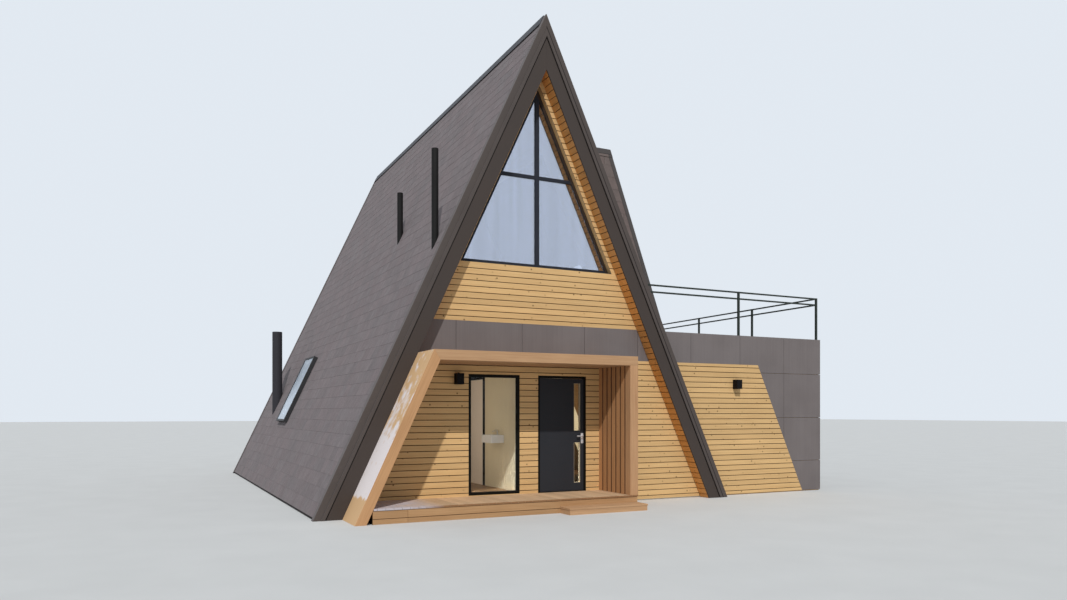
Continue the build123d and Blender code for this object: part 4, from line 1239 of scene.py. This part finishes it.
SCREW_INSET, SCREW_SINK, LOCK_HEIGHT = 0.012, 0.004, 1.175
SLOT_HALF_WIDTH, SLOT_HALF_HEIGHT = 0.0011, 0.0045
plates_low, plates_high = span("handle_plates")
lock_x = (plates_low[0] + plates_high[0]) / 2
screw_head = [(0.0042, 0), (0.0042, 0.0006), (0.0030, 0.0014), (0.0012, 0.0017)]
screws = [
    turned((lock_x, plates_low[1] + SCREW_SINK, height), (0, -1, 0), screw_head, 20)
    for height in (plates_low[2] + SCREW_INSET, plates_high[2] - SCREW_INSET)
]
piece("plate_screws", screws, steel, body="door", smooth_angle=40)
# The key slot is a thin near-black plate: painted shade of the slot's hollow
key_slot = rectangle(
    lock_x - SLOT_HALF_WIDTH,
    lock_x + SLOT_HALF_WIDTH,
    LOCK_HEIGHT - SLOT_HALF_HEIGHT,
    LOCK_HEIGHT + SLOT_HALF_HEIGHT,
)
slot_parts = [plates(upright(plates_low[1]), [key_slot], 0.0003, 0.0001)]
piece("key_slot", slot_parts, key_slot_shade, body="door")

# Camera, with the focal length and horizon of the photograph in its pixels

PHOTO_WIDTH, PHOTO_HEIGHT, SENSOR = 1067.0, 600.0, 36.0
FOCAL_LENGTH, HORIZON, HEADING = 802.253, 412.483, -0.4624027
EYE = (-6.590, -18.320, 1.699)
camera = bpy.data.cameras.new("camera")
camera.sensor_width = SENSOR
camera.lens = FOCAL_LENGTH * SENSOR / PHOTO_WIDTH
camera.shift_y = (HORIZON - PHOTO_HEIGHT / 2) / PHOTO_WIDTH
camera.clip_end = 400
scene.camera = stood("camera", camera, EYE)
scene.camera.rotation_euler = (math.radians(90), 0, HEADING)

# Sun, lamps in two rooms, pale backdrop and floor

sun = bpy.data.lights.new("sun", "SUN")
sun.energy = 2.5
sun.angle = math.radians(1.2)
stood("sun", sun, towards=(0.47, 1, -1.09))

for name, place, towards, size, energy in (
    ("wash_room_light", (-2.2, -3.85, 1.6), (1, 0, 0), 2.4, 16.0),
    ("hall_light", (3.6, -2.2, 1.5), (0, 1, 0), 1.6, 22.0),
):
    soft = bpy.data.lights.new(name, "AREA")
    soft.size = size
    soft.energy = energy
    soft.color = (1.0, 0.86, 0.68)
    lamp = stood(name, soft, place, towards)
    lamp.visible_camera = lamp.visible_glossy = lamp.visible_transmission = False

world = bpy.data.worlds.new("studio")
scene.world = world
world.use_nodes = True
studio = Nodes(world.node_tree)
lit = studio.tree.nodes["Background"]
lit.inputs["Color"].default_value = (0.77, 0.85, 0.96, 1)
lit.inputs["Strength"].default_value = 0.5
seen = studio.node("Background", {"Color": (0.80, 0.86, 0.93, 1), "Strength": 0.95})
rays = studio.node("LightPath").outputs
sees_backdrop = studio.maths("MAXIMUM", rays["Is Camera Ray"], rays["Is Glossy Ray"])
sees_backdrop = studio.maths("MAXIMUM", sees_backdrop, rays["Is Transmission Ray"])
chosen = studio.node("MixShader", {0: sees_backdrop, 1: lit.outputs[0], 2: seen.outputs[0]})
studio.tree.links.new(chosen.outputs[0], studio.tree.nodes["World Output"].inputs["Surface"])

FLOOR_REACH = 150.0
floor_corners = rectangle(-FLOOR_REACH, FLOOR_REACH, -FLOOR_REACH, FLOOR_REACH)
floor_mesh = bpy.data.meshes.new("studio_floor")
floor_mesh.from_pydata([(x, y, 0) for x, y in floor_corners], [], [(0, 1, 2, 3)])
floor_mesh.materials.append(floor_paint)
studio_floor = stood("studio_floor", floor_mesh)

scene.view_settings.view_transform = "Standard"
